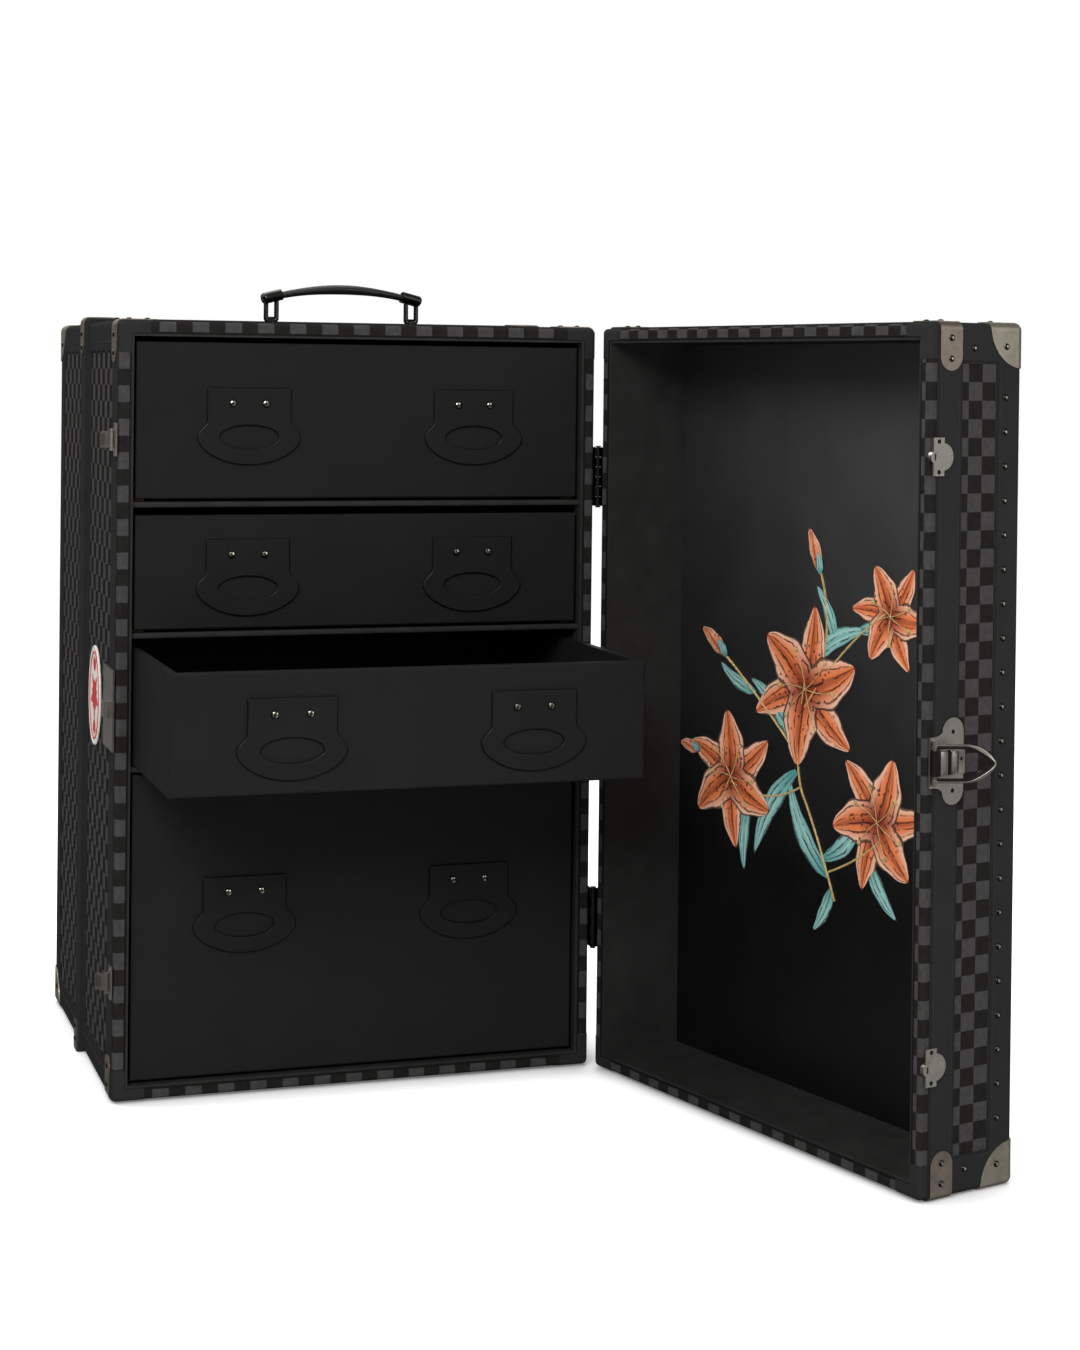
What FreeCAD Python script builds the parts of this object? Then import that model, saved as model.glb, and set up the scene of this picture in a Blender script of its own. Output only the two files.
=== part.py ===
import FreeCAD, Part
import os
import re
import Sketcher
from math import degrees, pi
from FreeCAD import Placement, Rotation, Vector

# Wardrobe trunk: a cloth-covered case that stands on end, with four drawers and a hollow
# door hinged on its right front edge.  Millimetres, +Z up, the drawers face -Y and the door
# hinge is on the +X side.  The origin is on the floor, under the middle of the case.
#
# Every piece is drawn in its shut position.  The door pieces are then swung open about the
# hinge pins and the third drawer is drawn out, which is how the trunk stands at rest.

# ---------------------------------------------------------------------------
# Driving sizes
# ---------------------------------------------------------------------------
SIZES = [
    ("body_width", 516, "case, outside, side to side"),
    ("body_height", 800, "case, outside, without its feet"),
    ("body_depth", 436, "case, outside, front rim to back"),
    ("door_depth", 113, "door, outside, rim to outer face"),
    ("door_gap", 1.5, "between the two rims when the door is shut"),
    ("door_angle", 105, "how far the door stands open at rest"),
    ("foot_height", 3, "glides and the foot of the bumper under the case"),
    ("foot_radius", 11, "glide disc"),
    ("foot_inset", 58, "glide centre from the outside of the case"),
    ("wall", 12, "boards of the case and the door"),
    ("back_board", 8, "back of the case and outer face of the door"),
    ("corner_round", 5, "outer edges of the boards"),
    ("rim_round", 4, "outer edge of the two rims"),
    ("lining", 3, "fabric-lined board inside the case and the door"),
    ("lining_set_back", 1, "lining edge behind the rim"),
    ("door_panel", 2, "smooth board on the floor of the door"),
    ("panel_gap", 0.5, "round the smooth board"),
    ("divider", 6, "shelf between two drawers"),
    ("divider_round", 2.2, "front edges of a divider"),
    ("bay_1_height", 170.5, "free height of the top drawer bay"),
    ("bay_2_height", 129, "free height of the second drawer bay"),
    ("bay_3_height", 131.5, "free height of the third drawer bay"),
    ("headroom_1", 5.5, "above the top drawer"),
    ("headroom_2", 8, "above the second drawer"),
    ("headroom_3", 10.5, "above the third drawer"),
    ("headroom_4", 2.5, "above the lowest drawer"),
    ("drawer_back_gap", 19, "behind each drawer when it is in"),
    ("drawer_inset", 6, "drawer faces behind the rim"),
    ("drawer_side_gap", 3, "between a drawer and the lining, each side"),
    ("drawer_foot_gap", 3, "under a drawer, where its runners are"),
    ("drawer_face", 12, "leather-covered face board"),
    ("drawer_face_round", 2.5, "face board edges"),
    ("drawer_wall", 8, "drawer sides and back"),
    ("drawer_floor", 5, "drawer bottom"),
    ("drawer_3_out", 214, "third drawer, drawn out at rest"),
    ("running_gap", 0.3, "between pieces that slide or turn on each other"),
    ("cut_past", 1, "how far a bore is cut past the piece that it goes through"),
    ("runner_width", 12, "hardwood runner under each drawer side"),
    ("runner_set_back", 20, "runner end behind the rim"),
    ("pull_spread", 244, "between the two pulls of a drawer"),
    ("pull_width", 109, "leather pull at its widest"),
    ("pull_top_width", 88, "leather pull at its straight top"),
    ("pull_height", 80, "leather pull, top to bottom"),
    ("pull_side", 35, "straight part of the sides of the pull"),
    ("pull_belly", 51, "widest place of the pull, below its top"),
    ("pull_leather", 3, "thickness of the pull"),
    ("pull_hole_width", 65, "oval finger hole"),
    ("pull_hole_height", 25, "oval finger hole"),
    ("pull_hole_drop", 51, "finger hole centre below the top of the pull"),
    ("pull_screw_drop", 16, "screws below the top of the pull"),
    ("pull_screw_spread", 35, "between the two screws of a pull"),
    ("pull_screw_radius", 3.4, "screw head"),
    ("pull_screw_crown", 2.6, "screw head at its top"),
    ("pull_screw_head", 1.4, "screw head height"),
    ("pull_1_drop", 47, "pull below the top of drawer 1"),
    ("pull_2_drop", 25, "pull below the top of drawer 2"),
    ("pull_3_drop", 25, "pull below the top of drawer 3"),
    ("pull_4_drop", 109, "pull below the top of drawer 4"),
    ("leather", 1.5, "leather edge trim"),
    ("leather_width", 30, "leather edge trim, on each face"),
    ("rim_wrap", 9, "covering cloth turned round the rim, before the trim"),
    ("door_band_width", 35, "leather trim over the top and the bottom of the door's sides"),
    ("bumper_width", 24, "raised band round the middle of the case"),
    ("bumper_proud", 7, "how far the band stands out"),
    ("bumper_round", 2, "outer edges of the band"),
    ("bumper_corner", 6, "upper corners of the band"),
    ("bumper_flange", 10, "leather beside the band, each side"),
    ("steel", 1.2, "straps and corner caps"),
    ("strap_width", 27, "corner straps"),
    ("strap_reach", 43, "corner straps, along each face"),
    ("strap_set_back", 10.5, "corner straps behind the rim"),
    ("bumper_strap_width", 20, "straps over the corners of the band"),
    ("bumper_strap_reach", 33, "straps over the corners of the band, on each face"),
    ("cap_reach", 40, "corner caps, radius about the corner"),
    ("rivet_radius", 3.2, "rivet head at its foot"),
    ("rivet_crown", 2.1, "rivet head at its top"),
    ("rivet_height", 1.3, "rivet head"),
    ("strap_rivet_first", 13, "first strap rivet from the corner"),
    ("strap_rivet_second", 32, "second strap rivet from the corner"),
    ("bumper_rivet_first", 10, "first rivet of a band strap"),
    ("bumper_rivet_second", 25, "second rivet of a band strap"),
    ("cap_rivet", 20, "cap rivet from both edges of its face"),
    ("hinge_offset", 4.6, "hinge pins outside the side board"),
    ("hinge_height", 64, "hinge, over its six knuckles"),
    ("hinge_drop", 160, "hinge centres from the top and bottom of the case"),
    ("hinge_leaf_width", 26, "hinge leaf behind the rim"),
    ("hinge_leaf", 1.6, "hinge leaf thickness"),
    ("knuckle_radius", 3, "hinge knuckle"),
    ("hinge_pin_radius", 1.6, "hinge pin"),
    ("pin_clearance", 0.08, "radial clearance round every pin"),
    ("pin_head", 1.2, "hinge pin head"),
    ("latch_drop", 121.5, "side latches from the top and bottom of the case"),
    ("latch_plate", 1.8, "thickness of the latch and lock plates"),
    ("catch_width", 24, "catch plate on the door, at the bulge"),
    ("catch_height", 35, "catch plate on the door"),
    ("catch_bulge_height", 25, "catch plate, over its round bulge"),
    ("catch_lobe", 13, "catch plate, its narrow ends"),
    ("catch_hole_spread", 28, "catch plate screw holes"),
    ("catch_hole_radius", 2.1, "screw holes of the catch and lock plates"),
    ("catch_set_back", 3, "catch plate behind the door rim"),
    ("catch_hook_reach", 4.2, "catch hook past the door rim"),
    ("catch_hook_height", 11, "catch hook"),
    ("catch_hook_root", 10, "catch hook on its plate, from the rim"),
    ("catch_hook_proud", 4.2, "catch hook above its plate"),
    ("catch_slot_width", 2, "slot through the catch hook"),
    ("catch_slot_height", 6, "slot through the catch hook"),
    ("latch_height", 34, "latch bracket on the case"),
    ("latch_width", 15, "latch bracket behind the rim"),
    ("latch_set_back", 2, "latch bracket behind the rim, near edge"),
    ("latch_screw_inset", 3.5, "latch bracket screw holes from its ends"),
    ("latch_hole_radius", 1.6, "latch bracket screw holes"),
    ("latch_ear", 2.4, "latch and lock pivot ears"),
    ("latch_pivot", 9, "latch pivot behind the rim"),
    ("latch_pin_radius", 1.1, "latch and lock pins"),
    ("latch_barrel_radius", 2.6, "latch and lock barrels"),
    ("latch_lever_height", 17, "ribbed thumb lever"),
    ("latch_lever_length", 15, "ribbed thumb lever, pin to tip"),
    ("latch_lever", 2.2, "ribbed thumb lever thickness"),
    ("latch_lever_angle", 30, "thumb lever stands off the side at rest"),
    ("latch_rib", 0.8, "ribs of the thumb lever, above its face"),
    ("latch_rib_first", 6.3, "first rib of the thumb lever from its pin"),
    ("latch_rib_pitch", 1.65, "from one rib to the next"),
    ("latch_rib_width", 0.75, "width of a rib"),
    ("lock_height", 80, "lock plate over its two lobes"),
    ("lock_waist", 47, "lock plate along the rim"),
    ("lock_set_back", 3, "lock plate behind the rim, near edge"),
    ("lock_width", 44, "lock plate, rim to far side"),
    ("lock_lobe_radius", 13, "lobes of the lock plate"),
    ("lock_pivot", 6, "lock pin behind the rim"),
    ("lock_lever_height", 24, "lock lever"),
    ("lock_lever_length", 36, "lock lever, pin to tip"),
    ("lock_lever", 2.4, "lock lever thickness"),
    ("lock_thumb", 1.6, "raised thumb pad of the lock lever"),
    ("lock_thumb_set_back", 3, "thumb pad from the tip of the lock lever"),
    ("lock_thumb_length", 14.5, "thumb pad, along the lever"),
    ("lock_thumb_height", 17, "thumb pad, across the lever"),
    ("bail_radius", 1.3, "lock bail wire"),
    ("bail_spread", 33, "between the two arms of the bail"),
    ("bail_arm", 28, "straight part of the bail"),
    ("bail_reach", 56, "pin to tip of the bail"),
    ("bail_angle", 30, "bail stands off the lock plate at rest"),
    ("bail_tip_radius", 3, "bend at the tip of the bail"),
    ("bail_eye", 3, "thickness of each bail eye"),
    ("strike_width", 64, "strike plate on the case"),
    ("strike_height", 84, "strike plate on the case"),
    ("strike_set_back", 4, "strike plate behind the rim"),
    ("strike_block_near", 18, "staple block behind the rim"),
    ("strike_block_length", 20, "staple block"),
    ("strike_block_height", 17, "staple block"),
    ("strike_block_proud", 6.5, "staple block above its plate"),
    ("strike_slot", 9, "key slot in the staple block"),
    ("strike_screw_inset", 5, "strike plate screw holes from its edges"),
    ("patch_width", 78, "oval leather patch on the side of the case"),
    ("patch_height", 107, "oval leather patch"),
    ("patch_leather", 1.6, "oval leather patch thickness"),
    ("patch_set_back", 139, "patch centre behind the rim"),
    ("handle_set_back", 103, "handle behind the front rim"),
    ("handle_spread", 157, "between the two handle rings"),
    ("handle_pivot", 5.2, "ring pivots above the top of the case"),
    ("handle_plate_length", 62, "handle plate"),
    ("handle_plate_width", 24, "handle plate"),
    ("handle_plate", 2.2, "handle plate thickness"),
    ("handle_plate_past", 12, "handle plate inward of its ring"),
    ("handle_eye", 2, "metal round each ring where the plate holds it"),
    ("ring_wire", 2.6, "ring wire radius"),
    ("ring_width", 11.5, "ring, side to side, on its centre line"),
    ("ring_height", 26, "ring, on its centre line"),
    ("ring_bend", 3, "bend at the ring corners"),
    ("grip_length", 180, "handle grip over its end caps"),
    ("grip_rise", 10, "arch of the grip above the rings"),
    ("grip_width", 17, "leather grip, front to back"),
    ("grip_height", 9, "leather grip, top to underside"),
    ("end_cap_length", 21.5, "end cap of the grip"),
    ("end_cap_over", 1.5, "end cap outside the leather"),
    ("end_cap_socket", 1.3, "leather held inside each end cap"),
    ("end_cap_round", 4, "outer end of each end cap"),
]

doc = FreeCAD.newDocument("wardrobe_trunk")
sheet = doc.addObject("Spreadsheet::Sheet", "Sizes")
for row, (alias, value, meaning) in enumerate(SIZES, 1):
    sheet.set(f"A{row}", meaning)
    sheet.set(f"B{row}", str(value))
    sheet.setAlias(f"B{row}", alias)
doc.recompute()
ALIASES = {alias for alias, _, _ in SIZES}
NODES = {}


# ---------------------------------------------------------------------------
# Ways of making things
# ---------------------------------------------------------------------------
def formula(text):
    """Turn a sum over size names into an expression on the sheet."""
    return re.sub(r"[a-z_][a-z_0-9]*", lambda word: "Sizes." + word.group()
                  if word.group() in ALIASES else word.group(), str(text))


def measure(text):
    """What such a sum comes to, in millimetres."""
    return float(sheet.evalExpression(formula(text)))


def point(a, b, c=0):
    return Vector(measure(a), measure(b), measure(c))


def bind(item, **sums):
    for name, text in sums.items():
        item.setExpression(name, formula(text))
    return item


def put(item, x, y, z):
    for axis, text in zip("xyz", (x, y, z)):
        item.setExpression("Placement.Base." + axis, formula(text))
    return item


def block(name, x, y, z, length, width, height):
    """A square-edged piece, from its lowest corner."""
    item = doc.addObject("Part::Box", name)
    bind(item, Length=length, Width=width, Height=height)
    return put(item, x, y, z)


TURNS = {
    "+X": Rotation(Vector(0, 0, 1), Vector(1, 0, 0)), "-X": Rotation(Vector(0, 0, 1), Vector(-1, 0, 0)),
    "+Y": Rotation(Vector(0, 0, 1), Vector(0, 1, 0)), "-Y": Rotation(Vector(0, 0, 1), Vector(0, -1, 0)),
    "+Z": Rotation(), "-Z": Rotation(Vector(1, 0, 0), 180),
}


def rod(name, x, y, z, radius, length, along="+Z"):
    item = doc.addObject("Part::Cylinder", name)
    bind(item, Radius=radius, Height=length)
    item.Placement = Placement(Vector(), TURNS[along])
    return put(item, x, y, z)


def rivet(name, x, y, z, along, foot="rivet_radius", crown="rivet_crown", height="rivet_height"):
    """A low domed head, drawn as a cone with its top cut off."""
    item = doc.addObject("Part::Cone", name)
    bind(item, Radius1=foot, Radius2=crown, Height=height)
    item.Placement = Placement(Vector(), TURNS[along])
    return put(item, x, y, z)


def cut(name, base, tool):
    item = doc.addObject("Part::Cut", name)
    item.Base = base
    item.Tool = tool
    return item


def fuse(name, *pieces):
    item = doc.addObject("Part::MultiFuse", name)
    item.Shapes = list(pieces)
    return item


def common(name, base, tool):
    item = doc.addObject("Part::Common", name)
    item.Base = base
    item.Tool = tool
    return item


def eased(name, base, *choices):
    """Round the edges that each test picks out, each with its own radius."""
    doc.recompute()
    item = doc.addObject("Part::Fillet", name)
    item.Base = base
    picked = []
    for number, edge in enumerate(base.Shape.Edges, 1):
        for test, radius in choices:
            if test(edge):
                picked.append((number, measure(radius), measure(radius)))
                break
    item.Edges = picked
    return item


def runs_along(edge, axis):
    box = edge.BoundBox
    spans = {"X": box.XLength, "Y": box.YLength, "Z": box.ZLength}
    return all(length < 1e-4 for name, length in spans.items() if name != axis)


def at_level(edge, axis, text):
    box = edge.BoundBox
    low, high = {"X": (box.XMin, box.XMax), "Y": (box.YMin, box.YMax), "Z": (box.ZMin, box.ZMax)}[axis]
    return abs(low - measure(text)) < 1e-4 and abs(high - measure(text)) < 1e-4


def profile(body, name, plane, lines, offset="0"):
    """A closed sketch on one of the body's own planes, from straight lines, arcs and circles."""
    sketch = body.newObject("Sketcher::SketchObject", name)
    origin = [item for item in body.Origin.OriginFeatures if item.Role == plane + "_Plane"][0]
    sketch.AttachmentSupport = [(origin, "")]
    sketch.MapMode = "FlatFace"
    sketch.AttachmentOffset = Placement(Vector(0, 0, measure(offset)), Rotation())
    for line in lines:
        sketch.addGeometry(line)
    return sketch


def rectangle(sketch, x0, x1, y0, y1):
    """Four lines held to the sheet by their two sides and their corner."""
    a, b, c, d = point(x0, y0), point(x1, y0), point(x1, y1), point(x0, y1)
    first = sketch.GeometryCount
    for start, end in ((a, b), (b, c), (c, d), (d, a)):
        sketch.addGeometry(Part.LineSegment(start, end))
    for side in range(4):
        sketch.addConstraint(Sketcher.Constraint("Coincident", first + side, 2, first + (side + 1) % 4, 1))
        level = "Horizontal" if side % 2 == 0 else "Vertical"
        sketch.addConstraint(Sketcher.Constraint(level, first + side))
    for kind, number, end, text in (("DistanceX", first, 1, x0), ("DistanceX", first, 2, x1),
                                    ("DistanceY", first, 1, y0), ("DistanceY", first + 1, 2, y1)):
        held = sketch.addConstraint(Sketcher.Constraint(kind, -1, 1, number, end, measure(text)))
        sketch.setExpression(f"Constraints[{held}]", formula(text))


def hole(sketch, x, y, radius):
    """A circle held to the sheet by its centre and its radius."""
    number = sketch.addGeometry(Part.Circle(point(x, y), Vector(0, 0, 1), measure(radius)))
    for kind, text in (("DistanceX", x), ("DistanceY", y)):
        held = sketch.addConstraint(Sketcher.Constraint(kind, -1, 1, number, 3, measure(text)))
        sketch.setExpression(f"Constraints[{held}]", formula(text))
    held = sketch.addConstraint(Sketcher.Constraint("Radius", number, measure(radius)))
    sketch.setExpression(f"Constraints[{held}]", formula(radius))


def pad(body, sketch, length, back=False):
    item = body.newObject("PartDesign::Pad", sketch.Name + "_pad")
    item.Profile = sketch
    item.Reversed = back
    return bind(item, Length=length)


def pocket(body, sketch, length, back=False):
    """Cut along the sketch; the volume is compared, so a pocket that misses is found."""
    doc.recompute()
    before = body.Shape.Volume
    item = body.newObject("PartDesign::Pocket", sketch.Name + "_pocket")
    item.Profile = sketch
    item.Reversed = back
    bind(item, Length=length)
    doc.recompute()
    if not body.Shape.Volume < before - 1e-3:
        raise RuntimeError(f"{item.Name} cuts nothing")
    return item


def body_at(name, x="0", y="0", z="0"):
    return put(doc.addObject("PartDesign::Body", name), x, y, z)


def seg(a, b):
    return Part.LineSegment(a, b)


def arc(a, middle, b):
    return Part.Arc(a, middle, b)


# Turning a point about the hinge pins: hinge_x and hinge_y stand still.
SIDE = "body_width / 2"
RIM = "(-body_depth / 2)"
DOOR_RIM = f"({RIM} - door_gap)"
BASE = "foot_height"
TOP = "(foot_height + body_height)"
HINGE_X = "(body_width / 2 + hinge_offset)"
HINGE_Y = f"({RIM} - door_gap / 2)"


def node(label, *pieces, rides="case"):
    """Name a sub-part.  Door pieces are swung open and the third drawer is drawn out."""
    item = doc.addObject("Part::Compound", label + "_node")
    item.Links = list(pieces)
    item.Label = label
    if rides == "door":
        item.setExpression("Placement.Rotation.Angle", formula("door_angle"))
        put(item, f"{HINGE_X} - {HINGE_X} * cos(door_angle) + {HINGE_Y} * sin(door_angle)",
            f"{HINGE_Y} - {HINGE_X} * sin(door_angle) - {HINGE_Y} * cos(door_angle)", "0")
    if rides == "drawer_3":
        put(item, "0", "-drawer_3_out", "0")
    NODES[label] = item
    return item


# ---------------------------------------------------------------------------
# The two shells: a deep case and a shallow door, both open towards the seam between them
# ---------------------------------------------------------------------------
def outside(which, grow="0", name=None):
    """The outer form of the case or the door, grown on all sides but the open one."""
    name = name or f"{which}_form_{grow}".replace(" ", "").replace("+", "_")
    low = RIM if which == "case" else f"{DOOR_RIM} - door_depth - ({grow})"
    depth = "body_depth" if which == "case" else "door_depth"
    form = block(name + "_block", f"-{SIDE} - ({grow})", low, f"{BASE} - ({grow})",
                 f"body_width + 2 * ({grow})", f"{depth} + ({grow})", f"body_height + 2 * ({grow})")
    closed = f"body_depth / 2 + ({grow})" if which == "case" else low
    radius = f"corner_round + ({grow})"
    choices = [(lambda edge: runs_along(edge, "Y"), radius),
               (lambda edge: at_level(edge, "Y", closed), radius)]
    if grow == "0":
        choices.append((lambda edge: at_level(edge, "Y", RIM if which == "case" else DOOR_RIM), "rim_round"))
    return eased(name, form, *choices)


def skin(which, inner, outer, tag):
    """What lies between two sizes of the same outer form."""
    return cut(f"{which}_{tag}_skin", outside(which, outer, f"{which}_{tag}_out"),
               outside(which, inner, f"{which}_{tag}_in"))


def make_frame(which):
    """Four boards joined at rounded corners; the far board closes them."""
    far = RIM if which == "case" else f"{DOOR_RIM} - door_depth"
    depth = "body_depth" if which == "case" else "door_depth"
    form = outside(which)
    inside = block(f"{which}_inside", f"-{SIDE} + wall", f"{far} - wall", f"{BASE} + wall",
                   "body_width - 2 * wall", f"{depth} + 2 * wall", "body_height - 2 * wall")
    node(f"{which}_frame", cut(f"{which}_frame_cut", form, inside), rides=which)
    board_low = "body_depth / 2 - back_board" if which == "case" else far
    board = block(f"{which}_board", f"-{SIDE} + wall", board_low, f"{BASE} + wall",
                  "body_width - 2 * wall", "back_board", "body_height - 2 * wall")
    node("case_back" if which == "case" else "door_face", board, rides=which)


def make_lining(which):
    """A thin open tray, covered in black fabric, that slips inside the boards."""
    depth = "body_depth" if which == "case" else "door_depth"
    low = (f"{RIM} + lining_set_back" if which == "case"
           else f"{DOOR_RIM} - door_depth + back_board")
    length = f"{depth} - back_board - lining_set_back"
    tray = block(f"{which}_lining_block", f"-{SIDE} + wall", low, f"{BASE} + wall",
                 "body_width - 2 * wall", length, "body_height - 2 * wall")
    hollow_low = f"{low} - lining" if which == "case" else f"{low} + lining"
    hollow = block(f"{which}_lining_hollow", f"-{SIDE} + wall + lining", hollow_low,
                   f"{BASE} + wall + lining", "body_width - 2 * wall - 2 * lining", length,
                   "body_height - 2 * wall - 2 * lining")
    node(f"{which}_lining", cut(f"{which}_lining_cut", tray, hollow), rides=which)


def make_leather(which):
    """Leather trim round every edge, sewn over the cloth; the cloth shows in the windows."""
    trim = skin(which, "0", "leather", "leather")
    near = RIM if which == "case" else DOOR_RIM
    depth = "body_depth" if which == "case" else "door_depth"
    length = f"{depth} - rim_wrap - 2 * leather_width"
    band = "leather_width" if which == "case" else "door_band_width"
    start = f"{near} + rim_wrap + leather_width" if which == "case" else (
        f"{near} - {depth} + leather_width")
    wrap = block(f"{which}_wrap", f"-{SIDE} - 2 * leather", f"{near} - rim_wrap", f"{BASE} - 2 * leather",
                 "body_width + 4 * leather", "2 * rim_wrap", "body_height + 4 * leather")
    across = block(f"{which}_side_windows", f"-{SIDE} - 2 * leather", start, f"{BASE} + {band}",
                   "body_width + 4 * leather", length, f"body_height - 2 * {band}")
    upright = block(f"{which}_end_windows", f"-{SIDE} + leather_width", start, f"{BASE} - 2 * leather",
                    "body_width - 2 * leather_width", length, "body_height + 4 * leather")
    face_low = "body_depth / 2 - leather" if which == "case" else f"{near} - {depth} - 2 * leather"
    face = block(f"{which}_face_window", f"-{SIDE} + leather_width", face_low, f"{BASE} + leather_width",
                 "body_width - 2 * leather_width", "3 * leather", "body_height - 2 * leather_width")
    openings = [wrap, across, upright, face]
    if which == "case":
        openings.append(block("bumper_seat", f"-{SIDE} - 2 * leather", "-bumper_width / 2 - bumper_flange",
                              f"{BASE} - 2 * leather", "body_width + 4 * leather",
                              "bumper_width + 2 * bumper_flange", "body_height + 4 * leather"))
    node(f"{which}_edge_leather", cut(f"{which}_leather_cut", trim, fuse(f"{which}_windows", *openings)),
         rides=which)


for shell in ("case", "door"):
    make_frame(shell)
    make_lining(shell)
    make_leather(shell)

# A smooth board lies on the floor of the door's hollow.
PANEL_EDGE = "(wall + lining + panel_gap)"
node("door_panel", block("door_panel_board", f"-{SIDE} + {PANEL_EDGE}",
                         f"{DOOR_RIM} - door_depth + back_board + lining", f"{BASE} + {PANEL_EDGE}",
                         f"body_width - 2 * {PANEL_EDGE}", "door_panel",
                         f"body_height - 2 * {PANEL_EDGE}"), rides="door")


# ---------------------------------------------------------------------------
# Bumper: a raised leather-covered band round the middle of the case, which also takes the floor
# ---------------------------------------------------------------------------
def bumper_form(grow, name):
    form = block(name + "_block", f"-{SIDE} - bumper_proud - ({grow})", f"-bumper_width / 2 - ({grow})",
                 "0", f"body_width + 2 * bumper_proud + 2 * ({grow})", f"bumper_width + 2 * ({grow})",
                 f"{TOP} + bumper_proud + ({grow})")
    return eased(name, form,
                 (lambda edge: runs_along(edge, "Y") and not at_level(edge, "Z", "0"),
                  f"bumper_corner + ({grow})"))


bumper_bar = bumper_form("0", "bumper_bar")
bumper_bar = eased("bumper_eased", bumper_bar,
                   (lambda edge: (at_level(edge, "Y", "bumper_width / 2")
                                  or at_level(edge, "Y", "-bumper_width / 2"))
                    and not at_level(edge, "Z", "0"), "bumper_round"))
node("bumper_band", cut("bumper_ring", bumper_bar, outside("case", "0", "bumper_core")))

flange_seat = block("flange_seat", f"-{SIDE} - 2 * leather", "-bumper_width / 2 - bumper_flange",
                    f"{BASE} - 2 * leather", "body_width + 4 * leather", "bumper_width + 2 * bumper_flange",
                    "body_height + 4 * leather")
band_room = block("flange_band_room", f"-{SIDE} - 3 * leather", "-bumper_width / 2", f"{BASE} - 3 * leather",
                  "body_width + 6 * leather", "bumper_width", "body_height + 6 * leather")
node("bumper_flanges", cut("flanges_cut", common("flanges_whole", skin("case", "0", "leather", "flange"),
                                                 flange_seat), band_room))

# Glides: flat steel discs nailed near the four corners of the base.
for_glides = []
for side_x in (-1, 1):
    for side_y in (-1, 1):
        for_glides.append(rod(f"glide_{side_x + 1}{side_y + 1}", f"{side_x} * ({SIDE} - foot_inset)",
                              f"{side_y} * (body_depth / 2 - foot_inset)", "0", "foot_radius", "foot_height"))
node("base_glides", *for_glides)


# ---------------------------------------------------------------------------
# Steel straps, corner caps and their rivets
# ---------------------------------------------------------------------------
def side_name(side_x, side_z):
    return ("left" if side_x < 0 else "right") + ("_low" if side_z < 0 else "_high")


def edge_level(side_z, inward):
    """A height measured inward from the top or the bottom of the boards."""
    return f"{TOP} - ({inward})" if side_z > 0 else f"{BASE} + ({inward})"


def low_level(side_z, start, length):
    """The lower end of a stretch that starts a way in from the top or the bottom."""
    return f"{TOP} - ({start}) - ({length})" if side_z > 0 else f"{BASE} + ({start})"


def strap_region(name, side_x, side_z, y_low, width, reach, out):
    """Two round-ended tongues, one down the side and one along the top or the bottom."""
    half = f"({width}) / 2"
    x_start = f"{SIDE} - corner_round" if side_x > 0 else f"-{SIDE} - ({out})"
    deep = f"corner_round + ({out})"
    straight = f"({reach}) - {half}"
    down = block(name + "_down", x_start, y_low, low_level(side_z, f"-({out})", f"{straight} + ({out})"),
                 deep, width, f"{straight} + ({out})")
    down_end = rod(name + "_down_end", x_start, f"{y_low} + {half}", edge_level(side_z, straight),
                   half, deep, "+X")
    z_start = f"{TOP} - corner_round" if side_z > 0 else f"{BASE} - ({out})"
    x_low = (f"{SIDE} - ({straight})" if side_x > 0 else f"-{SIDE} - ({out})")
    over = block(name + "_over", x_low, y_low, z_start, f"{straight} + ({out})", width, deep)
    over_end = rod(name + "_over_end", f"{side_x} * ({SIDE} - ({straight}))", f"{y_low} + {half}",
                   z_start, half, deep)
    return fuse(name, down, down_end, over, over_end)


def corner_rivets(name, side_x, side_z, y, out, distances, under=False):
    """Rivets on the side of a corner, and on its top where that can be seen."""
    heads = []
    for number, distance in enumerate(distances):
        heads.append(rivet(f"{name}_{number}_side", f"{side_x} * ({SIDE} + ({out}))", y,
                           edge_level(side_z, distance), "+X" if side_x > 0 else "-X"))
        if side_z > 0 or under:
            heads.append(rivet(f"{name}_{number}_end", f"{side_x} * ({SIDE} - ({distance}))", y,
                               f"{TOP} + ({out})", "+Z"))
    return heads


def make_steel(which):
    straps, caps, heads = [], [], []
    plate = skin(which, "leather", "leather + steel", "steel")
    out = "leather + steel"
    near = RIM if which == "case" else DOOR_RIM
    strap_low = f"{near} + strap_set_back" if which == "case" else (
        f"{near} - strap_set_back - strap_width")
    far = "body_depth / 2" if which == "case" else f"{near} - door_depth"
    inward = "-" if which == "case" else "+"
    for side_x in (-1, 1):
        for side_z in (-1, 1):
            corner = f"{which}_{side_name(side_x, side_z)}"
            region = strap_region(corner + "_strap_form", side_x, side_z, strap_low, "strap_width",
                                  "strap_reach", out)
            straps.append(common(corner + "_strap", plate, region))
            heads += corner_rivets(corner + "_strap_rivet", side_x, side_z, f"{strap_low} + strap_width / 2",
                                   out, ("strap_rivet_first", "strap_rivet_second"))
            ball = doc.addObject("Part::Sphere", corner + "_cap_form")
            bind(ball, Radius="cap_reach")
            put(ball, f"{side_x} * {SIDE}", far, TOP if side_z > 0 else BASE)
            caps.append(common(corner + "_cap", plate, ball))
            heads += corner_rivets(corner + "_cap_rivet", side_x, side_z, f"{far} {inward} cap_rivet",
                                   out, ("cap_rivet",))
            face = "+Y" if which == "case" else "-Y"
            reach_out = "+" if which == "case" else "-"
            heads.append(rivet(corner + "_cap_rivet_face", f"{side_x} * ({SIDE} - cap_rivet)",
                               f"{far} {reach_out} ({out})", edge_level(side_z, "cap_rivet"), face))
    node(f"{which}_corner_straps", *straps, rides=which)
    node(f"{which}_corner_caps", *caps, rides=which)
    node(f"{which}_rivets", *heads, rides=which)


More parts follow.
